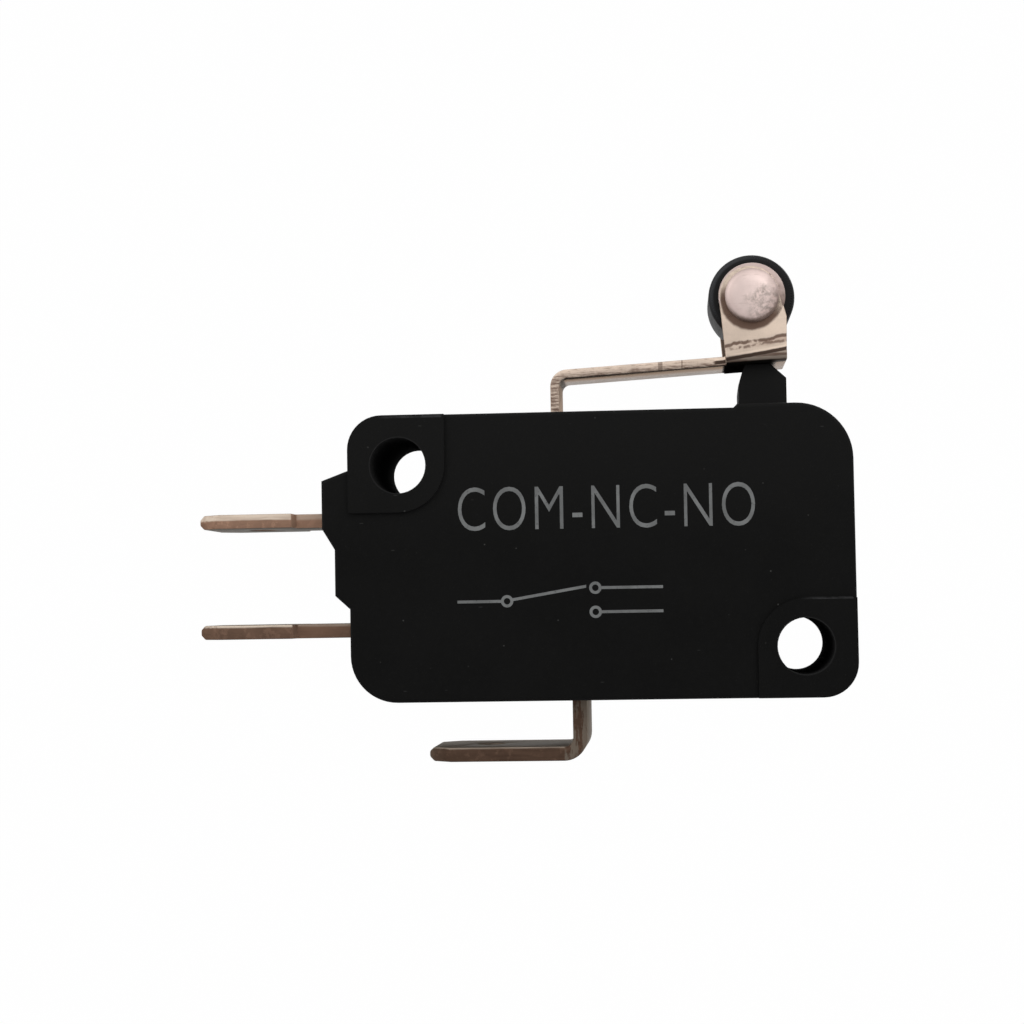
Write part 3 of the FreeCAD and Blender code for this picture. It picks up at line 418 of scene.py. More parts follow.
def lever_finish(colours, sizes):
    """Dull nickel on rolled strip: streaks along the roll, brown creases over the fold of the ears, and
    painted light and shade on the fold, round the pin's head and under the floor.
    """
    base, stain_and_shade = tuple(colours.nickel), tuple(colours.stain_and_shade)
    finish = Finish("lever_nickel", {"Specular IOR Level": 0.05, "Specular Tint": (0.5, 0.42, 0.36, 1)})
    middle = ROLLER_MIDDLE / MM
    rise = math.tan(sizes.arm_slope)
    # Height above the arm's underside, square to X
    above = finish.z - finish.x * rise - (sizes.arm_level - sizes.leg_middle * rise) / MM
    streak = finish.noise(2.4, 4.0, 0.62, stretch=(0.16, 1.0, 2.2))
    cloud = finish.noise(0.9, 3.0, 0.6)
    grain = finish.noise(14.0, 3.0, 0.7)
    tone = finish.layers(
        finish.blend(cloud.ramp(0.3, 0.72), tinted(base, 0.9), tinted(base, 1.05)),
        (grain.ramp(0.5, 0.75) * 0.35, base, 0.62))

    # Creases of the fold, one above the other, that run down to the left
    def crease(scale, detail, depth, shift=0):
        wave = finish.noise(scale, detail, 0.6, stretch=(1, 0.2, 0.05), shift=(shift, 0, 0)) - 0.5
        return above - (finish.x - sizes.ear_foot_right / MM) * 0.1 + wave * depth

    ear = finish.x.ramp(-4.7, -4.5) * finish.facing_y.ramp(0.15, 0.3)
    broad, thin, close = crease(1.3, 2.0, 0.55), crease(1.1, 3.0, 0.5, 7), crease(0.9, 3.0, 0.16)
    wavy = broad.band(1.3, 0.05, 0.09) * finish.noise(2.6, 2.0).ramp(0.34, 0.52)
    veil = broad.band(1.14, 0.1, 0.16) * finish.x.ramp(middle.x - 1.4, middle.x + 1.6)
    faint = thin.band(1.05, 0.03, 0.1) * finish.noise(3.2, 2.0, shift=(5, 0, 3)).ramp(0.4, 0.55)
    # Over the bend below the ears: dark is a painted shadow line, shine a painted highlight above it, and
    # fold painted shade on the bend itself
    dark, shine, fold = close.band(0.56, 0.07, 0.06), close.band(0.74, 0.03, 0.05), close.ramp(0.5, 0.42)
    tone = finish.layers(
        tone,
        (ear * veil * 0.35, stain_and_shade, 2.6),
        (ear * faint * 0.7, stain_and_shade, 1.4),
        (ear * wavy * 0.85, stain_and_shade, 1.3),
        # Painted light on the fold: a highlight line, shade on the bend with streaks over it, and the
        # bend's shadow line
        (ear * shine * 0.6, base, 1.25),
        (ear * fold, base, 0.7),
        (ear * fold * streak.ramp(0.42, 0.6) * 0.75, stain_and_shade, 1.8),
        (ear * dark * 0.94, stain_and_shade, 0.6))

    # Painted shadow of the pin's head on the ear, below and to the left, painted shade close round the
    # head, and painted shade on the rear ear's inner face
    away = finish.from_axis(middle.x - 0.05, middle.z - 0.2)
    lean = middle.x * 0.35 + middle.z * 0.94 - finish.x * 0.35 - finish.z * 0.94
    shade = (away + (finish.noise(2.2, 3.0) - 0.5) * 0.14).ramp(1.82, 1.64) * lean.ramp(-0.4, 0.7)
    inner = finish.y.ramp(2.0, 2.4) * finish.normal_y.ramp(-0.3, -0.6)
    tone = finish.layers(
        tone,
        (ear * shade * 0.93, stain_and_shade, 1.2),
        (ear * away.ramp(1.66, 1.5) * 0.2, stain_and_shade, 1.5),
        (ear * inner * 0.85, stain_and_shade, 0.7))

    # Sheared side of the arm and leg: fine streaks, a few bars across and a darker lower edge
    arm = finish.x.ramp(-4.4, -4.6) * finish.facing_y.ramp(0.5, 0.85)
    fine = finish.noise(5.0, 3.0, 0.7, stretch=(0.3, 1.0, 2.0))
    lower = above.ramp(0.32, 0.05) * fine.ramp(0.35, 0.6)
    bars = finish.noise(3.4, 1.0, 0.5, stretch=(1, 0.2, 0.02), shift=(3, 0, 0)).ramp(0.62, 0.66)
    tone = finish.layers(
        tone,
        (arm * fine.ramp(0.5, 0.66) * 0.6, stain_and_shade, 2.2),
        (arm * lower * 0.75, stain_and_shade, 1.4),
        (arm * bars * finish.x.ramp(-10.0, -6.0) * 0.85, stain_and_shade))

    # Bright underside, with painted shade along its front edge and a flat, near-black painted shadow where
    # it lies over the plunger; the fold above it is dull
    under = finish.normal_z.ramp(-0.8, -0.95)
    painted_shadow_over_plunger = finish.x.ramp(-4.15, -3.95) * finish.x.ramp(-1.0, -1.5)
    painted_underside_shade = finish.y.ramp(-1.5, -1.9) * (1.0 - painted_shadow_over_plunger) + painted_shadow_over_plunger
    dull = finish.normal_z.ramp(-0.1, -0.4) * (1.0 - under) + under * painted_underside_shade
    tone = finish.blend(under * painted_underside_shade * 0.92, tone, tinted(stain_and_shade, 0.6))
    finish.deaden(under * painted_shadow_over_plunger, (0.012, 0.011, 0.010, 1))
    return finish.surface(
        tone, streak * 0.5 + grain * 0.3 - ear * (wavy + dark) * 0.8, 0.012,
        Metallic=1.0 - dull - 0.6 * (ear * inner * (1.0 - dull)),
        Roughness=0.38 + 0.2 * cloud + 0.15 * ear * dark - 0.36 * (under * (1.0 - painted_underside_shade)))


def pin_finish(colours):
    """Bright rivet head with a grainy, hammered patch on one side, and painted shade: its dome toned down
    on the upper side and its rim darkened, most on the lower side.
    """
    base = tuple(colours.rivet)
    finish = Finish("pin_nickel", {"Metallic": 1.0})
    middle = ROLLER_MIDDLE / MM
    from_patch = finish.from_axis(middle.x + 1.0, middle.z - 0.6)
    away = finish.from_axis(middle.x, middle.z)
    patch = (from_patch + (finish.noise(1.6, 3.0) - 0.5) * 1.5).ramp(1.7, 0.7)
    grain = finish.noise(3.6, 4.0, 0.72)
    pits = finish.cells(3.4).ramp(0.26, 0.1)
    cloud = finish.noise(1.1, 3.0)
    scratch = finish.noise(5.0, 2.0, 0.6, stretch=(0.25, 1, 2.5)).ramp(0.6, 0.7)
    lean = middle.z - middle.x * 0.4
    low_side = (finish.z - finish.x * 0.4).ramp(lean, lean - 1.4)
    rim = (away + (grain - 0.5) * 0.2).ramp(1.26, 1.42)
    dome = away.ramp(0.85, 1.25)
    tone = finish.layers(
        finish.shaded(cloud, base, 0.95, 1.05),
        (patch * grain.ramp(0.36, 0.62) * 0.75, (0.31, 0.265, 0.24)),
        (pits * patch * 0.4, (0.20, 0.16, 0.145)),
        (scratch * 0.3, (0.34, 0.27, 0.24)),
        # Painted shade: the dome's upper side toned down, and the rim darkened, most on the lower side
        (dome * (1.0 - low_side) * 0.3, (0.40, 0.32, 0.30)),
        (rim * (0.12 + 0.6 * low_side), (0.19, 0.13, 0.105)))
    return finish.surface(tone, grain * (0.2 + 0.8 * patch), 0.02,
                          Roughness=0.38 + 0.2 * patch + 0.2 * dome)


# For each terminal how deep the bright line along the cut's top goes (partly the cut's burnished band,
# partly a painted highlight), as a share of the thickness, how much of it is left beyond the root, and how
# bright the rest of the strip is painted: a painted light level that makes each terminal lighter or darker
TERMINAL_LOOKS = {"nc": (0.36, 0.5, 1.4), "no": (0.1, 0.5, 0.74), "com": (0.04, 0.0, 0.46)}


def terminal_finish(colours, name, level, thick, root):
    """Tinned strip whose sheared edges show brown copper alloy, with a bright line along their top that is
    partly the cut's burnished band and partly a painted highlight.

    Beyond the root, which is where a side tab's neck or the common tab's bend begins, the edge looks
    different.
    """
    shine, past_root, painted_light_level = TERMINAL_LOOKS[name]
    # Painted light: each terminal's tin and copper are made lighter or darker by its painted light level
    tin, copper = tinted(colours.tin, 0.5 + 0.5 * painted_light_level), tinted(colours.copper, painted_light_level)
    finish = Finish(name + "_tab_finish", {
        "Specular IOR Level": 0.05, "Specular Tint": (0.4, 0.34, 0.28, 1)})
    bent = name == "com"
    sheared = finish.facing_y.ramp(0.35, 0.8) if bent else abs(finish.normal_z).ramp(0.8, 0.45)
    drag = finish.noise(3.0, 3.0, 0.65, stretch=(0.12, 1.0, 1.6))
    cloud = finish.noise(0.8, 3.0, 0.6)
    grain = finish.noise(16.0, 2.0, 0.6)
    patches = finish.noise(1.7, 4.0, 0.7, shift=(2, 5, 1)).ramp(0.52, 0.62)
    neck = finish.x.ramp(root / MM - 0.02, root / MM + 0.05)
    from_top = (level + thick / 2) / MM - finish.z + (drag - 0.5) * 0.12
    depth = thick / MM * shine
    bright = from_top.ramp(depth + 0.1, depth - 0.02) * from_top.ramp(-0.16, -0.08)
    bright = bright * (0.75 + 0.25 * drag.ramp(0.6, 0.45)) * (1.0 - (1.0 - past_root) * neck)
    # The shoulder faces the black collar and the underside the floor, so neither is left to mirror them;
    # the shoulder is painted lighter instead, as painted light, and the underside darker, as painted shade
    shoulder = finish.x.band(root / MM - 0.03, 0.04, 0.03) * sheared * (0.0 if bent else 1.0)
    below = finish.normal_z.ramp(-0.5, -0.8)
    if bent:
        # Grey streaks of the shear run down the upright part, thickest on its outer side
        outer = finish.x.ramp(COMMON_HIGH.x / MM - 0.4, COMMON_HIGH.x / MM - 0.2)
        streaks = finish.noise(2.6, 4.0, 0.7, stretch=(1.6, 1.0, 0.35), shift=(3, 1, 4)) + outer * 0.14
        past = (streaks.ramp(0.46, 0.6) * neck * 0.8, tin, 0.85)
    else:
        # Painted light: the side tabs' edges beyond the root, deeper in the collar, are painted lighter
        past = (neck * 0.5, copper, 2.0)
    edge = finish.layers(
        finish.shaded(cloud, copper, 0.88, 1.15),
        (drag.ramp(0.5, 0.68) * 0.45, copper, 0.6),
        (grain.ramp(0.6, 0.8) * 0.35, copper, 1.7),
        (patches * 0.3, copper, 2.0),
        past,
        (bright * (0.5 if bent else 0.9), tuple(colours.burnish_and_edge_highlight)),
        (shoulder, copper, 2.0))
    plated = finish.layers(
        finish.shaded(cloud, tin, 0.85, 1.15),
        (drag.ramp(0.55, 0.75) * 0.35, tin, 0.6),
        (below * 0.85, tin, 0.3))
    return finish.surface(
        finish.blend(sheared, plated, edge), drag * 0.5 + grain * 0.3, 0.01,
        Metallic=0.4 + 0.25 * sheared - 0.65 * shoulder - 0.3 * below,
        Roughness=0.4 + 0.2 * sheared + 0.1 * cloud)


def works_finish(name, base, rough, stretch):
    """Worked metal of the parts inside: drawn or rolled lines and a slight tarnish."""
    finish = Finish(name, {"Metallic": 1.0})
    lines = finish.noise(4.0, 3.0, 0.6, stretch=stretch)
    tarnish = finish.noise(0.9, 4.0, 0.65)
    tone = finish.layers(finish.shaded(lines, base, 0.85, 1.1), (tarnish.ramp(0.55, 0.75) * 0.5, base, 0.5))
    return finish.surface(tone, lines, 0.006, Roughness=rough + 0.2 * tarnish)


def ink_finish(colours):
    """Pad-printed ink: broken a little by the moulding's texture."""
    finish = Finish("printed_ink", {"Specular IOR Level": 0.2})
    wear_and_highlight_gaps = finish.noise(6.0, 4.0, 0.75)
    cloud = finish.noise(0.9, 2.0)
    tone = finish.layers(
        finish.shaded(cloud, tuple(colours.ink), 0.8, 1.12),
        (wear_and_highlight_gaps.ramp(0.56, 0.72) * 0.65, (0.03, 0.03, 0.03)))
    return finish.surface(tone, wear_and_highlight_gaps, 0.008, Roughness=0.55 + 0.2 * wear_and_highlight_gaps)


# Modelling by hand

def let_go():
    """Object mode with nothing selected."""
    if bpy.context.object and bpy.context.object.mode != "OBJECT":
        bpy.ops.object.mode_set(mode="OBJECT")
    bpy.ops.object.select_all(action="DESELECT")


def hold(piece):
    """Only this piece selected and active."""
    let_go()
    piece.select_set(True)
    bpy.context.view_layer.objects.active = piece


def edit():
    bpy.ops.object.mode_set(mode="EDIT")


def settle():
    bpy.ops.object.transform_apply(location=True, rotation=True, scale=True)


def pick(kind, test):
    """In edit mode, select only the faces or edges that pass a test."""
    bpy.ops.mesh.select_mode(type=kind)
    bpy.ops.mesh.select_all(action="DESELECT")
    mesh = bmesh.from_edit_mesh(bpy.context.object.data)
    parts = {"FACE": mesh.faces, "EDGE": mesh.edges}[kind]
    chosen = [part for part in parts if test(part)]
    for part in chosen:
        part.select_set(True)
    mesh.select_flush_mode()
    bmesh.update_edit_mesh(bpy.context.object.data)
    if not chosen:
        raise RuntimeError(f"{bpy.context.object.name}: nothing to pick")


def middle_of_pick():
    mesh = bmesh.from_edit_mesh(bpy.context.object.data)
    places = [corner.co for corner in mesh.verts if corner.select]
    return sum(places, Vector()) / len(places)


def width_of_pick():
    """How far the selected corners reach along X."""
    mesh = bmesh.from_edit_mesh(bpy.context.object.data)
    places = [corner.co.x for corner in mesh.verts if corner.select]
    return max(places) - min(places)


def resize(ratio, middle=(0, 0, 0)):
    bpy.ops.transform.resize(value=ratio, center_override=middle)


def draw_out(shift):
    bpy.ops.mesh.extrude_region_move(TRANSFORM_OT_translate={"value": shift})


def close_up():
    """Merge doubles and turn all faces outward."""
    bpy.ops.mesh.select_all(action="SELECT")
    bpy.ops.mesh.remove_doubles(threshold=SMALL / 2)
    bpy.ops.mesh.normals_make_consistent(inside=False)
    bpy.ops.object.mode_set(mode="OBJECT")


class Blank:
    """Stock with a rectangular end that is selected, and that each step draws on."""

    def __init__(self, name, middle, size):
        """size holds the lengths of the first end along X, Y and Z, 0 across the end."""
        let_go()
        across = "XYZ"[list(size).index(0)]
        bpy.ops.mesh.primitive_plane_add(size=1, rotation=ALONG[across])
        self.piece = bpy.context.object
        self.piece.name = name
        settle()
        edit()
        bpy.ops.mesh.select_all(action="SELECT")
        resize([side or 1 for side in size])
        bpy.ops.transform.translate(value=middle)
        self.middle, self.size = Vector(middle), size

    def to(self, middle, size=None):
        """Draw the end to a new middle and, where it is given, a new size."""
        draw_out(Vector(middle) - self.middle)
        self.middle = Vector(middle)
        if size:
            ratio = [new / old if old else 1 for new, old in zip(size, self.size)]
            resize(ratio, self.middle)
            self.size = size
        return self

    def bend(self, pivot, axis, angle, steps):
        """Sweep the end round an axis through the pivot, left-handed about the axis."""
        bpy.ops.mesh.spin(steps=steps, angle=angle, center=pivot, axis=axis)
        self.middle = middle_of_pick()
        return self

    def done(self):
        close_up()
        return self.piece


def rod(name, middle, radius, span, axis="Y", sides=64):
    """A round bar along an axis, closed at both ends."""
    let_go()
    bpy.ops.mesh.primitive_cylinder_add(vertices=sides, radius=radius, depth=span, location=middle,
                                        rotation=ALONG[axis])
    piece = bpy.context.object
    piece.name = name
    settle()
    return piece


def apply_modifier(piece, kind, settings):
    hold(piece)
    change = piece.modifiers.new(kind.title(), kind)
    for name, given in settings.items():
        setattr(change, name, given)
    bpy.ops.object.modifier_apply(modifier=change.name)


def shape_with(piece, tool, operation):
    """Cut a tool out of a piece, or weld it on, and clear the tool away."""
    apply_modifier(piece, "BOOLEAN", {"object": tool, "operation": operation, "solver": "EXACT"})
    hold(tool)
    bpy.ops.object.delete()


def soften(piece, width, segments=2, angle=35):
    """Round the piece's sharp edges."""
    apply_modifier(piece, "BEVEL", {
        "width": width, "segments": segments, "limit_method": "ANGLE", "angle_limit": math.radians(angle),
        "miter_outer": "MITER_ARC"})


def stand(piece, body, slot, material, *nodes):
    """Smooth, colour and hand over a finished piece to the body that carries it."""
    hold(piece)
    edit()
    close_up()
    bpy.ops.object.shade_smooth_by_angle(angle=SMOOTH_BELOW)
    piece.data.materials.clear()
    piece.data.materials.append(material)
    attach(piece, body)
    if nodes:
        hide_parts(*nodes)


def dress(node, material):
    """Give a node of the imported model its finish."""
    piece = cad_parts[node]
    for slot in piece.material_slots:
        slot.material = material
    if not piece.material_slots:
        piece.data.materials.append(material)


# Pieces

class MICROSWITCH_OT_housing(bpy.types.Operator):
    """Finish the moulded case and its rear cover"""
    bl_idname = "micro_switch.housing"
    bl_label = "Housing"

    def execute(self, context):
        material = housing_finish(context.scene.switch_colours)
        dress("case", material)
        dress("cover", material)
        return {"FINISHED"}


class MICROSWITCH_OT_works(bpy.types.Operator):
    """Finish the contacts, rocking frames and toggle spring inside the case"""
    bl_idname = "micro_switch.works"
    bl_label = "Snap Works"

    def execute(self, context):
        colours = context.scene.switch_colours
        silver = works_finish("contact_silver", tuple(colours.silver), rough=0.25, stretch=(1, 1, 0.2))
        bronze = works_finish("rocker_bronze", tuple(colours.bronze), rough=0.3, stretch=(0.15, 1, 1))
        steel = works_finish("spring_wire", tuple(colours.steel), rough=0.28, stretch=(1, 1, 1))
        for node in ("nc_contact", "no_contact", "moving_contact"):
            dress(node, silver)
        for node in ("contact_arm", "trip_lever"):
            dress(node, bronze)
        dress("snap_spring", steel)
        return {"FINISHED"}


# Along X and Z in millimetres: the names' lower left and upper right corner, the ends of the symbol's
# lines, and the middles of its rings
NAMES_FIELD = (-18.9, 6.6), (-2.6, 9.0)
SYMBOL_LINES = (((-19.0, 2.7), (-16.6, 2.7)), ((-15.95, 2.78), (-11.9, 3.45)),
                ((-11.06, 3.36), (-7.7, 3.36)), ((-11.06, 2.04), (-7.7, 2.04)))
SYMBOL_RINGS = (-16.26, 2.7), (-11.4, 3.36), (-11.4, 2.04)


class MICROSWITCH_OT_marks(bpy.types.Operator):
    """Print the terminal names and the changeover symbol on the marked face"""
    bl_idname = "micro_switch.marks"
    bl_label = "Printed Marks"

    def execute(self, context):
        sizes, colours = context.scene.switch_sizes, context.scene.switch_colours
        face, ink = CASE_LOW.y + PAD_RISE, sizes.ink
        words = self.names(face, ink)
        parts = [words]

        # Changeover symbol: common pole, swinging blade and the two fixed contacts
        for start, end in SYMBOL_LINES:
            blank = Blank("stroke", (start[0] * MM, face, start[1] * MM), (0, ink, sizes.stroke))
            parts.append(blank.to((end[0] * MM, face, end[1] * MM)).done())
        for x, z in SYMBOL_RINGS:
            parts.append(rod("ring", (x * MM, face, z * MM), sizes.ring_radius, ink, sides=32))
            edit()
            pick("FACE", lambda part: abs(part.normal.y) > 0.9)
            bpy.ops.mesh.inset(thickness=sizes.stroke)
            bpy.ops.mesh.bridge_edge_loops()
            close_up()

        let_go()
        for part in parts:
            part.select_set(True)
        bpy.context.view_layer.objects.active = words
        bpy.ops.object.join()
        words.name = "front_marks"
        stand(words, "housing", "housing", ink_finish(colours))
        return {"FINISHED"}

    def names(self, face, ink):
        """The terminals' names, stretched to their field."""
        let_go()
        bpy.ops.object.text_add(rotation=(QUARTER, 0, 0))
        words = bpy.context.object
        words.data.body = "COM-NC-NO"
        words.data.extrude = ink / 2
        words.data.resolution_u = 6
        # A little thinner, and set a little wider, than the font's own letters
        words.data.offset = -0.012
        words.data.space_character = 1.12
        bpy.ops.object.convert(target="MESH")
        words.location = (0, 0, 0)
        settle()
        low = Vector(map(min, *(corner.co for corner in words.data.vertices)))
        high = Vector(map(max, *(corner.co for corner in words.data.vertices)))
        (left, bottom), (right, top) = NAMES_FIELD
        edit()
        bpy.ops.mesh.select_all(action="SELECT")
        bpy.ops.transform.translate(value=-low)
        resize(((right - left) * MM / (high.x - low.x), 1, (top - bottom) * MM / (high.z - low.z)))
        bpy.ops.transform.translate(value=(left * MM, face - ink / 2, bottom * MM))
        bpy.ops.object.mode_set(mode="OBJECT")
        return words


class MICROSWITCH_OT_terminals(bpy.types.Operator):
    """Model the three flat terminals with their detent holes, tapered tips and bends"""
    bl_idname = "micro_switch.terminals"
    bl_label = "Terminals"

    def execute(self, context):
        sizes, colours = context.scene.switch_sizes, context.scene.switch_colours
        self.side_tab(sizes, colours, "nc", -1)
        self.side_tab(sizes, colours, "no", 1)
        self.common_tab(sizes, colours)
        return {"FINISHED"}

    def tip(self, sizes, name, x, level, width):
        """The end of a tab: bevelled above and below, and tapered in width."""
        thick = sizes.terminal_thickness
        blank = Blank(name, (x, 0, level), (0, width - 2 * sizes.tip_taper, thick - 2 * sizes.tip_drop))
        blank.to((x + sizes.tip_chamfer, 0, level), (0, width - 2 * sizes.tip_waist, thick))
        blank.to((x + sizes.tip_reach, 0, level), (0, width, thick))
        return blank

    def drill(self, piece, x, level, radius):
        shape_with(piece, rod("drill", (x, 0, level), radius, THROUGH, axis="Z", sides=48), "DIFFERENCE")

    def finish(self, piece, sizes, colours, name, level, root):
        soften(piece, sizes.burr)
        material = terminal_finish(colours, name, level, sizes.terminal_thickness, root)
        stand(piece, "housing", "terminal", material, name + "_terminal")

    def side_tab(self, sizes, colours, name, step):
        """A tab on the left: blade, neck in the collar, a joggle down or up, and the contact's seat."""
        low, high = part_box(name + "_terminal")
        thick = sizes.terminal_thickness
        width = high.y - low.y
        level = (high.z - thick / 2) if step < 0 else (low.z + thick / 2)
        inner = level + step * sizes.joggle
        blank = self.tip(sizes, name + "_tab", low.x, level, width)
        blank.to((sizes.blade_root - sizes.blade_shoulder, 0, level))
        blank.to((sizes.blade_root, 0, level), (0, sizes.neck_width, thick))
        wall = CASE_LOW.x + sizes.collar_depth + thick / 2
        blank.to((wall, 0, level))
        blank.to((wall + sizes.joggle_run, 0, inner))
        blank.to((high.x, 0, inner))
        piece = blank.done()
        self.drill(piece, low.x + sizes.detent_setback, level, sizes.detent_radius)
        self.drill(piece, sizes.contact_place, level, sizes.rivet_radius)
        self.finish(piece, sizes, colours, name, level, sizes.blade_root)

    def common_tab(self, sizes, colours):
        """The tab below: a post inside the case, bent to the left under it."""
        thick, radius = sizes.terminal_thickness, sizes.common_bend
        level = COMMON_LOW.z + thick / 2
        post = COMMON_HIGH.x - thick / 2
        root = post - thick / 2 - radius
        blank = self.tip(sizes, "com_tab", COMMON_LOW.x, level, COMMON_HIGH.y - COMMON_LOW.y)
        blank.to((root, 0, level))
        blank.bend((root, 0, level + thick / 2 + radius), (0, 1, 0), QUARTER, steps=12)
        blank.to((post, 0, COMMON_HIGH.z))
        piece = blank.done()
        self.drill(piece, COMMON_LOW.x + sizes.detent_setback, level, sizes.detent_radius)
        window = Blank("window", (post - THROUGH / 2, 0, sizes.window_level),
                       (0, sizes.window_width, sizes.window_height))
        window.to((post + THROUGH / 2, 0, sizes.window_level))
        shape_with(piece, window.done(), "DIFFERENCE")
        self.finish(piece, sizes, colours, "com", level, root)


# Half width of the plunger's foot and its height above the foot's lowest line, in millimetres
PLUNGER_FOOT = (0.25, 0), (0.42, 0.17), (0.56, 0.38), (0.6, 0.6)
# How far below the head's top, and how far in on the left and the right, in millimetres
PLUNGER_HEAD = ((1.45, 0, 0), (1.1, 0.045, 0), (0.8, 0.095, 0), (0.45, 0.2, 0.38), (0.2, 0.3, 0.65),
                (0.0, 0.405, 0.865))


class MICROSWITCH_OT_plunger(bpy.types.Operator):
    """Model the plunger: sloped head, stem, retaining flange and rounded foot"""
    bl_idname = "micro_switch.plunger"
    bl_label = "Plunger"

    def execute(self, context):
        sizes, colours = context.scene.switch_sizes, context.scene.switch_colours
        left, right = PLUNGER_LOW.x, PLUNGER_HIGH.x
        middle = (left + right) / 2
        stem, flange = sizes.stem_depth, sizes.flange_depth
        flange_top = CASE_HIGH.z - PAD_RISE - sizes.top_wall
        flange_foot = flange_top - sizes.flange_height
        step = 0.01 * MM

        def section(x_low, x_high, z, depth):
            return ((x_low + x_high) / 2, 0, z), (x_high - x_low, depth, 0)

        first, *sections = [
            *(section(middle - half * MM, middle + half * MM, PLUNGER_LOW.z + rise * MM, stem)
              for half, rise in PLUNGER_FOOT),
            section(left, right, flange_foot, stem), section(left, right, flange_foot + step, flange),
            section(left, right, flange_top - step, flange), section(left, right, flange_top, stem),
            *(section(left + in_left * MM, right - in_right * MM, PLUNGER_HIGH.z - drop * MM, stem)
              for drop, in_left, in_right in PLUNGER_HEAD)]
        blank = Blank("plunger_button", *first)
        for place, size in sections:
            blank.to(place, size)
        piece = blank.done()
        soften(piece, sizes.plunger_edge, segments=3, angle=28)
        stand(piece, "plunger_body", "plunger", plunger_finish(colours), "plunger")
        return {"FINISHED"}


class MICROSWITCH_OT_lever(bpy.types.Operator):
    """Fold the lever from strip: leg with lugs, arm, floor and two round-topped ears"""
    bl_idname = "micro_switch.lever"
    bl_label = "Roller Lever"

    def execute(self, context):
        sizes, colours = context.scene.switch_sizes, context.scene.switch_colours
        thick, bend, lean = sizes.strip_thickness, sizes.strip_bend, sizes.arm_slope
        along = Vector((math.cos(lean), 0, math.sin(lean)))
        up = Vector((-math.sin(lean), 0, math.cos(lean)))

        def on_arm(x):
            """Middle of the arm's section whose underside is at x."""
            level = sizes.arm_level + (x - sizes.leg_middle) * math.tan(lean)
            return Vector((x, 0, level)) + up * thick / 2

        # Leg, bend and arm
        blank = Blank("roller_lever", (sizes.leg_middle, 0, sizes.leg_foot), (thick, sizes.strip_width, 0))
        pivot_x = sizes.leg_middle + thick / 2 + bend
        pivot = on_arm(pivot_x) - up * (thick / 2) - Vector((0, 0, bend / math.cos(lean)))
        blank.to((sizes.leg_middle, 0, pivot.z))
        blank.bend(pivot, (0, -1, 0), QUARTER - lean, steps=12)
        blank.to(on_arm(sizes.ear_foot_left))

        # Floor, wider than the arm, and the ears folded up from its two sides
        floor = sizes.ear_gap - sizes.ear_bend
        draw_out((0, 0, 0))
        resize((1, 2 * floor / sizes.strip_width, 1), blank.middle)
        draw_out(on_arm(sizes.ear_foot_right) - blank.middle)
        corner = on_arm(sizes.ear_foot_left) + up * (thick / 2 + sizes.ear_bend)
        for side in (-1, 1):
            self.fold_ear(sizes, side, Vector((corner.x, side * floor, corner.z)), along)
        piece = blank.done()
        soften(piece, sizes.strip_edge)

        lugs = rod("lugs", (sizes.leg_middle, 0, sizes.leg_foot), sizes.lug_radius, sizes.lug_span)
        shape_with(piece, lugs, "UNION")
        shape_with(piece, rod("hole", ROLLER_MIDDLE, sizes.pin_hole, THROUGH), "DIFFERENCE")
        stand(piece, "lever", "lever_steel", lever_finish(colours, sizes), "actuator_lever")
        return {"FINISHED"}

    def fold_ear(self, sizes, side, pivot, along):
        """Bend one side of the floor up, draw it to the pin and round its top."""
        left, right, half = sizes.ear_foot_left, sizes.ear_foot_right, sizes.ear_half

        def on_side(part):
            middle = part.calc_center_median()
            return abs(part.normal.y) > 0.9 and middle.y * side > abs(pivot.y) * 0.99 and middle.x > left

        pick("FACE", on_side)
        bpy.ops.mesh.spin(steps=8, angle=QUARTER, center=pivot, axis=along * -side)

        def raise_to(z, x_low, x_high):
            """Draw the ear up to a level, where it reaches from x_low to x_high."""
            draw_out((0, 0, z - middle_of_pick().z))
            place = middle_of_pick()
            resize(((x_high - x_low) / width_of_pick(), 1, 0), place)
            bpy.ops.transform.translate(value=((x_low + x_high) / 2 - place.x, 0, 0))

        start = middle_of_pick().z
        share = (sizes.ear_shoulder - start) / (ROLLER_MIDDLE.z - start)
        crown, top = ROLLER_MIDDLE.x + sizes.ear_shift, ROLLER_MIDDLE.z + half
        raise_to(sizes.ear_shoulder, left + share * (crown - half - left), right)
        raise_to(ROLLER_MIDDLE.z, crown - half, crown + half)
        raise_to(top, crown - half, crown + half)

        def across_top(edge):
            first, second = (corner.co for corner in edge.verts)
            return abs(first.x - second.x) < SMALL and all(
                abs(place.z - top) < SMALL and place.y * side > 0 for place in (first, second))

        pick("EDGE", across_top)
        # A bevel just short of the half width, because the two would meet and collapse at all of it
        bpy.ops.mesh.bevel(offset=half * 0.995, segments=16, profile=0.5, affect="EDGES")


# From the rim to the bore, how far in and how far out each step of the roller's hub goes, in
# millimetres: a shallow recess, and in it a raised ring round the bore
HUB_STEPS = (0.25, 0), (0.1, -0.2), (0.22, 0), (0.06, 0.14)


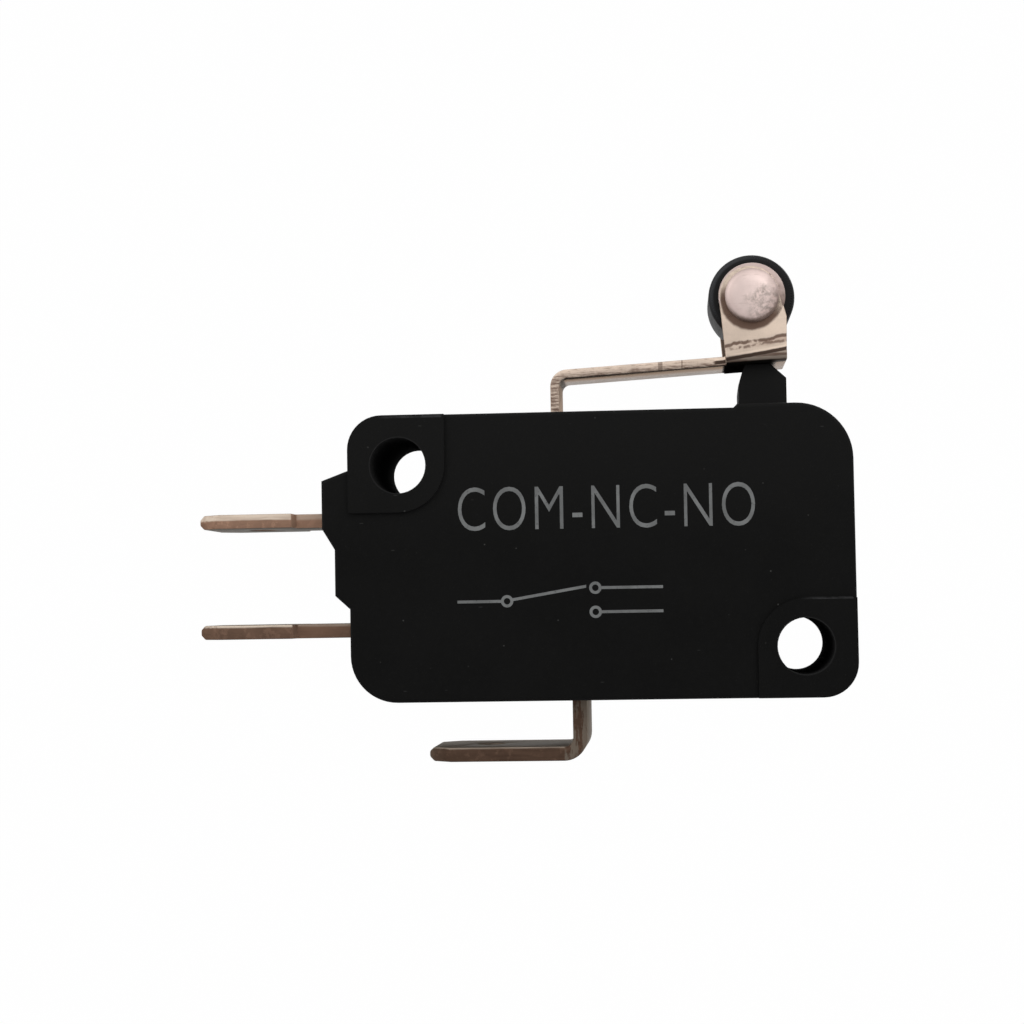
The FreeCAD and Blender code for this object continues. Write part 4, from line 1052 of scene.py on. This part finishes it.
class MICROSWITCH_OT_roller(bpy.types.Operator):
    """Turn the roller: rounded rims, recessed hubs and a bore for the pin"""
    bl_idname = "micro_switch.roller"
    bl_label = "Roller"

    def execute(self, context):
        sizes, colours = context.scene.switch_sizes, context.scene.switch_colours
        span = ROLLER_HIGH.y - ROLLER_LOW.y
        piece = rod("roller_wheel", ROLLER_MIDDLE, ROLLER_RADIUS, span, sides=96)

        def at_end(place):
            return abs(abs(place.y) - span / 2) < SMALL

        edit()
        pick("EDGE", lambda edge: all(at_end(corner.co) for corner in edge.verts))
        bpy.ops.mesh.bevel(offset=sizes.rim, segments=5, profile=0.5, affect="EDGES")
        pick("FACE", lambda part: abs(part.normal.y) > 0.99 and at_end(part.calc_center_median()))
        rest = ROLLER_RADIUS - sizes.rim - sizes.roller_bore
        for inward, outward in HUB_STEPS:
            bpy.ops.mesh.inset(thickness=inward * MM, depth=outward * MM)
            rest -= inward * MM
        bpy.ops.mesh.inset(thickness=rest, depth=0)
        bpy.ops.mesh.bridge_edge_loops()
        close_up()
        stand(piece, "roller_body", "roller", roller_finish(colours), "roller")
        return {"FINISHED"}


# Rings of the pin's two ends: how far out, as a share of the end's height, and the radius there in
# millimetres
PIN_HEAD = ((0.0, 1.47), (0.06, 1.5), (0.4, 1.5), (0.58, 1.46), (0.72, 1.37), (0.83, 1.22), (0.91, 1.0),
            (0.97, 0.7), (1.0, 0.35))
PIN_PEEN = (0.0, 1.18), (0.3, 1.2), (0.65, 1.08), (0.9, 0.8), (1.0, 0.45), (0.7, 0.25)


class MICROSWITCH_OT_pin(bpy.types.Operator):
    """Head the roller's pin: a broad domed head in front and a peened end behind"""
    bl_idname = "micro_switch.pin"
    bl_label = "Roller Pin"

    def execute(self, context):
        sizes, colours = context.scene.switch_sizes, context.scene.switch_colours
        ear = sizes.ear_gap + sizes.strip_thickness
        piece = rod("pin_rivet", ROLLER_MIDDLE, sizes.pin_radius, 2 * ear, sides=96)
        edit()
        self.upset(-1, -PIN_LOW.y - ear, sizes.pin_radius, PIN_HEAD)
        self.upset(1, PIN_HIGH.y - ear, sizes.pin_radius, PIN_PEEN)
        close_up()
        stand(piece, "lever", "pin_steel", pin_finish(colours), "roller_pin")
        return {"FINISHED"}

    def upset(self, side, height, radius, rings):
        """Swell one end of the pin through its rings."""
        pick("FACE", lambda part: part.normal.y * side > 0.9)
        out = 0.0
        for share, swollen in rings:
            draw_out((0, side * (share - out) * height, 0))
            ratio = swollen * MM / radius
            resize((ratio, 1, ratio), ROLLER_MIDDLE)
            out, radius = share, swollen * MM


# The camera, fitted to the photograph: place in millimetres, turns in degrees and lens
CAMERA_PLACE = (-6.991, -121.118, 2.374)
CAMERA_TURNS = (92.5706, 0.9623, 4.4325)
CAMERA_LENS = 74.486
# The square soft lamps: place and side in millimetres, and watts. All aim at the middle of the switch.
LAMPS = {
    "key_lamp": ((70, -110, 120), 130, 0.085),
    "fill_lamp": ((-120, -60, 90), 150, 0.075),
    "rear_lamp": ((60, 130, 110), 90, 0.06),
}
LAMP_AIM = Vector((-12, 0, 8)) * MM


class MICROSWITCH_OT_stage(bpy.types.Operator):
    """Set the white sweep, the soft lamps and the camera"""
    bl_idname = "micro_switch.stage"
    bl_label = "Stage"

    def execute(self, context):
        self.sweep()
        self.sky(context.scene)
        for name, (place, side, watts) in LAMPS.items():
            light = bpy.data.lights.new(name, "AREA")
            light.size = side * MM
            light.energy = watts
            aim = LAMP_AIM - Vector(place) * MM
            self.hang(context.scene, light, place, aim.to_track_quat("-Z", "Y").to_euler())
        camera = bpy.data.cameras.new("camera")
        camera.lens = CAMERA_LENS
        camera.sensor_width = 36
        camera.clip_start, camera.clip_end = 0.01, 5
        context.scene.camera = self.hang(
            context.scene, camera, CAMERA_PLACE, [math.radians(turn) for turn in CAMERA_TURNS])
        context.scene.view_settings.view_transform = "Standard"
        return {"FINISHED"}

    def hang(self, scene, thing, place, turns):
        """Put a lamp or the camera at a place in millimetres."""
        holder = bpy.data.objects.new(thing.name, thing)
        holder.location = Vector(place) * MM
        holder.rotation_euler = turns
        scene.collection.objects.link(holder)
        return holder

    def sweep(self):
        """Floor that curves up into a backdrop, so far below the switch that it can be seen from there."""
        # In metres
        front, back, level, bend = -1.2, 0.75, -0.15, 0.3
        width, height, thick = 2.6, 1.2, 0.004
        piece = Blank("studio_sweep", (0, front, level), (width, 0, thick)).to((0, back, level)).done()
        edit()
        pick("FACE", lambda part: part.normal.y > 0.9)
        bpy.ops.mesh.spin(steps=16, angle=QUARTER, center=(0, back, level + bend), axis=(-1, 0, 0))
        draw_out((0, 0, height))
        close_up()
        bpy.ops.object.shade_smooth_by_angle(angle=SMOOTH_BELOW)
        finish = Finish("white_paper", {
            "Base Color": (0.93, 0.93, 0.93, 1), "Roughness": 0.9, "Specular IOR Level": 0.0})
        glow = finish.node("ShaderNodeEmission", {}, {"Color": (1, 1, 1, 1), "Strength": 1.0})
        straight, mirrored, through = finish.rays()
        finish.mix_in(straight * 0.99 + mirrored * 0.6 + through * 0.6, glow)
        piece.data.materials.append(finish.material)

    def sky(self, scene):
        """Even grey light all round, white where the camera sees it, straight or in metal or glass."""
        scene.world = bpy.data.worlds.new("studio")
        scene.world.use_nodes = True
        sky = Nodes(scene.world.node_tree)
        straight, mirrored, through = sky.rays()
        seen = straight.or_more(mirrored.or_more(through))
        sky.feed(sky.tree.nodes["Background"], {"Color": (1, 1, 1, 1), "Strength": 0.55 + 0.45 * seen})


OPERATORS = (
    MICROSWITCH_OT_housing,
    MICROSWITCH_OT_works,
    MICROSWITCH_OT_marks,
    MICROSWITCH_OT_terminals,
    MICROSWITCH_OT_plunger,
    MICROSWITCH_OT_lever,
    MICROSWITCH_OT_roller,
    MICROSWITCH_OT_pin,
    MICROSWITCH_OT_stage,
)


class MICROSWITCH_PT_panel(bpy.types.Panel):
    """Settings and steps of the switch"""
    bl_idname = "MICROSWITCH_PT_panel"
    bl_label = "Lever Micro Switch"
    bl_space_type = "VIEW_3D"
    bl_region_type = "UI"
    bl_category = "Micro Switch"

    def draw(self, context):
        for group in (context.scene.switch_sizes, context.scene.switch_colours):
            box = self.layout.box()
            for name in group.__annotations__:
                box.prop(group, name)
        for operator in OPERATORS:
            self.layout.operator(operator.bl_idname)


CLASSES = (SwitchSizes, SwitchColours, *OPERATORS, MICROSWITCH_PT_panel)


def register():
    for item in CLASSES:
        bpy.utils.register_class(item)
    bpy.types.Scene.switch_sizes = bpy.props.PointerProperty(type=SwitchSizes)
    bpy.types.Scene.switch_colours = bpy.props.PointerProperty(type=SwitchColours)


def unregister():
    del bpy.types.Scene.switch_colours
    del bpy.types.Scene.switch_sizes
    for item in reversed(CLASSES):
        bpy.utils.unregister_class(item)


def main():
    register()
    bpy.ops.micro_switch.housing()
    bpy.ops.micro_switch.works()
    bpy.ops.micro_switch.marks()
    bpy.ops.micro_switch.terminals()
    bpy.ops.micro_switch.plunger()
    bpy.ops.micro_switch.lever()
    bpy.ops.micro_switch.roller()
    bpy.ops.micro_switch.pin()
    bpy.ops.micro_switch.stage()


if __name__ == "__main__":
    main()
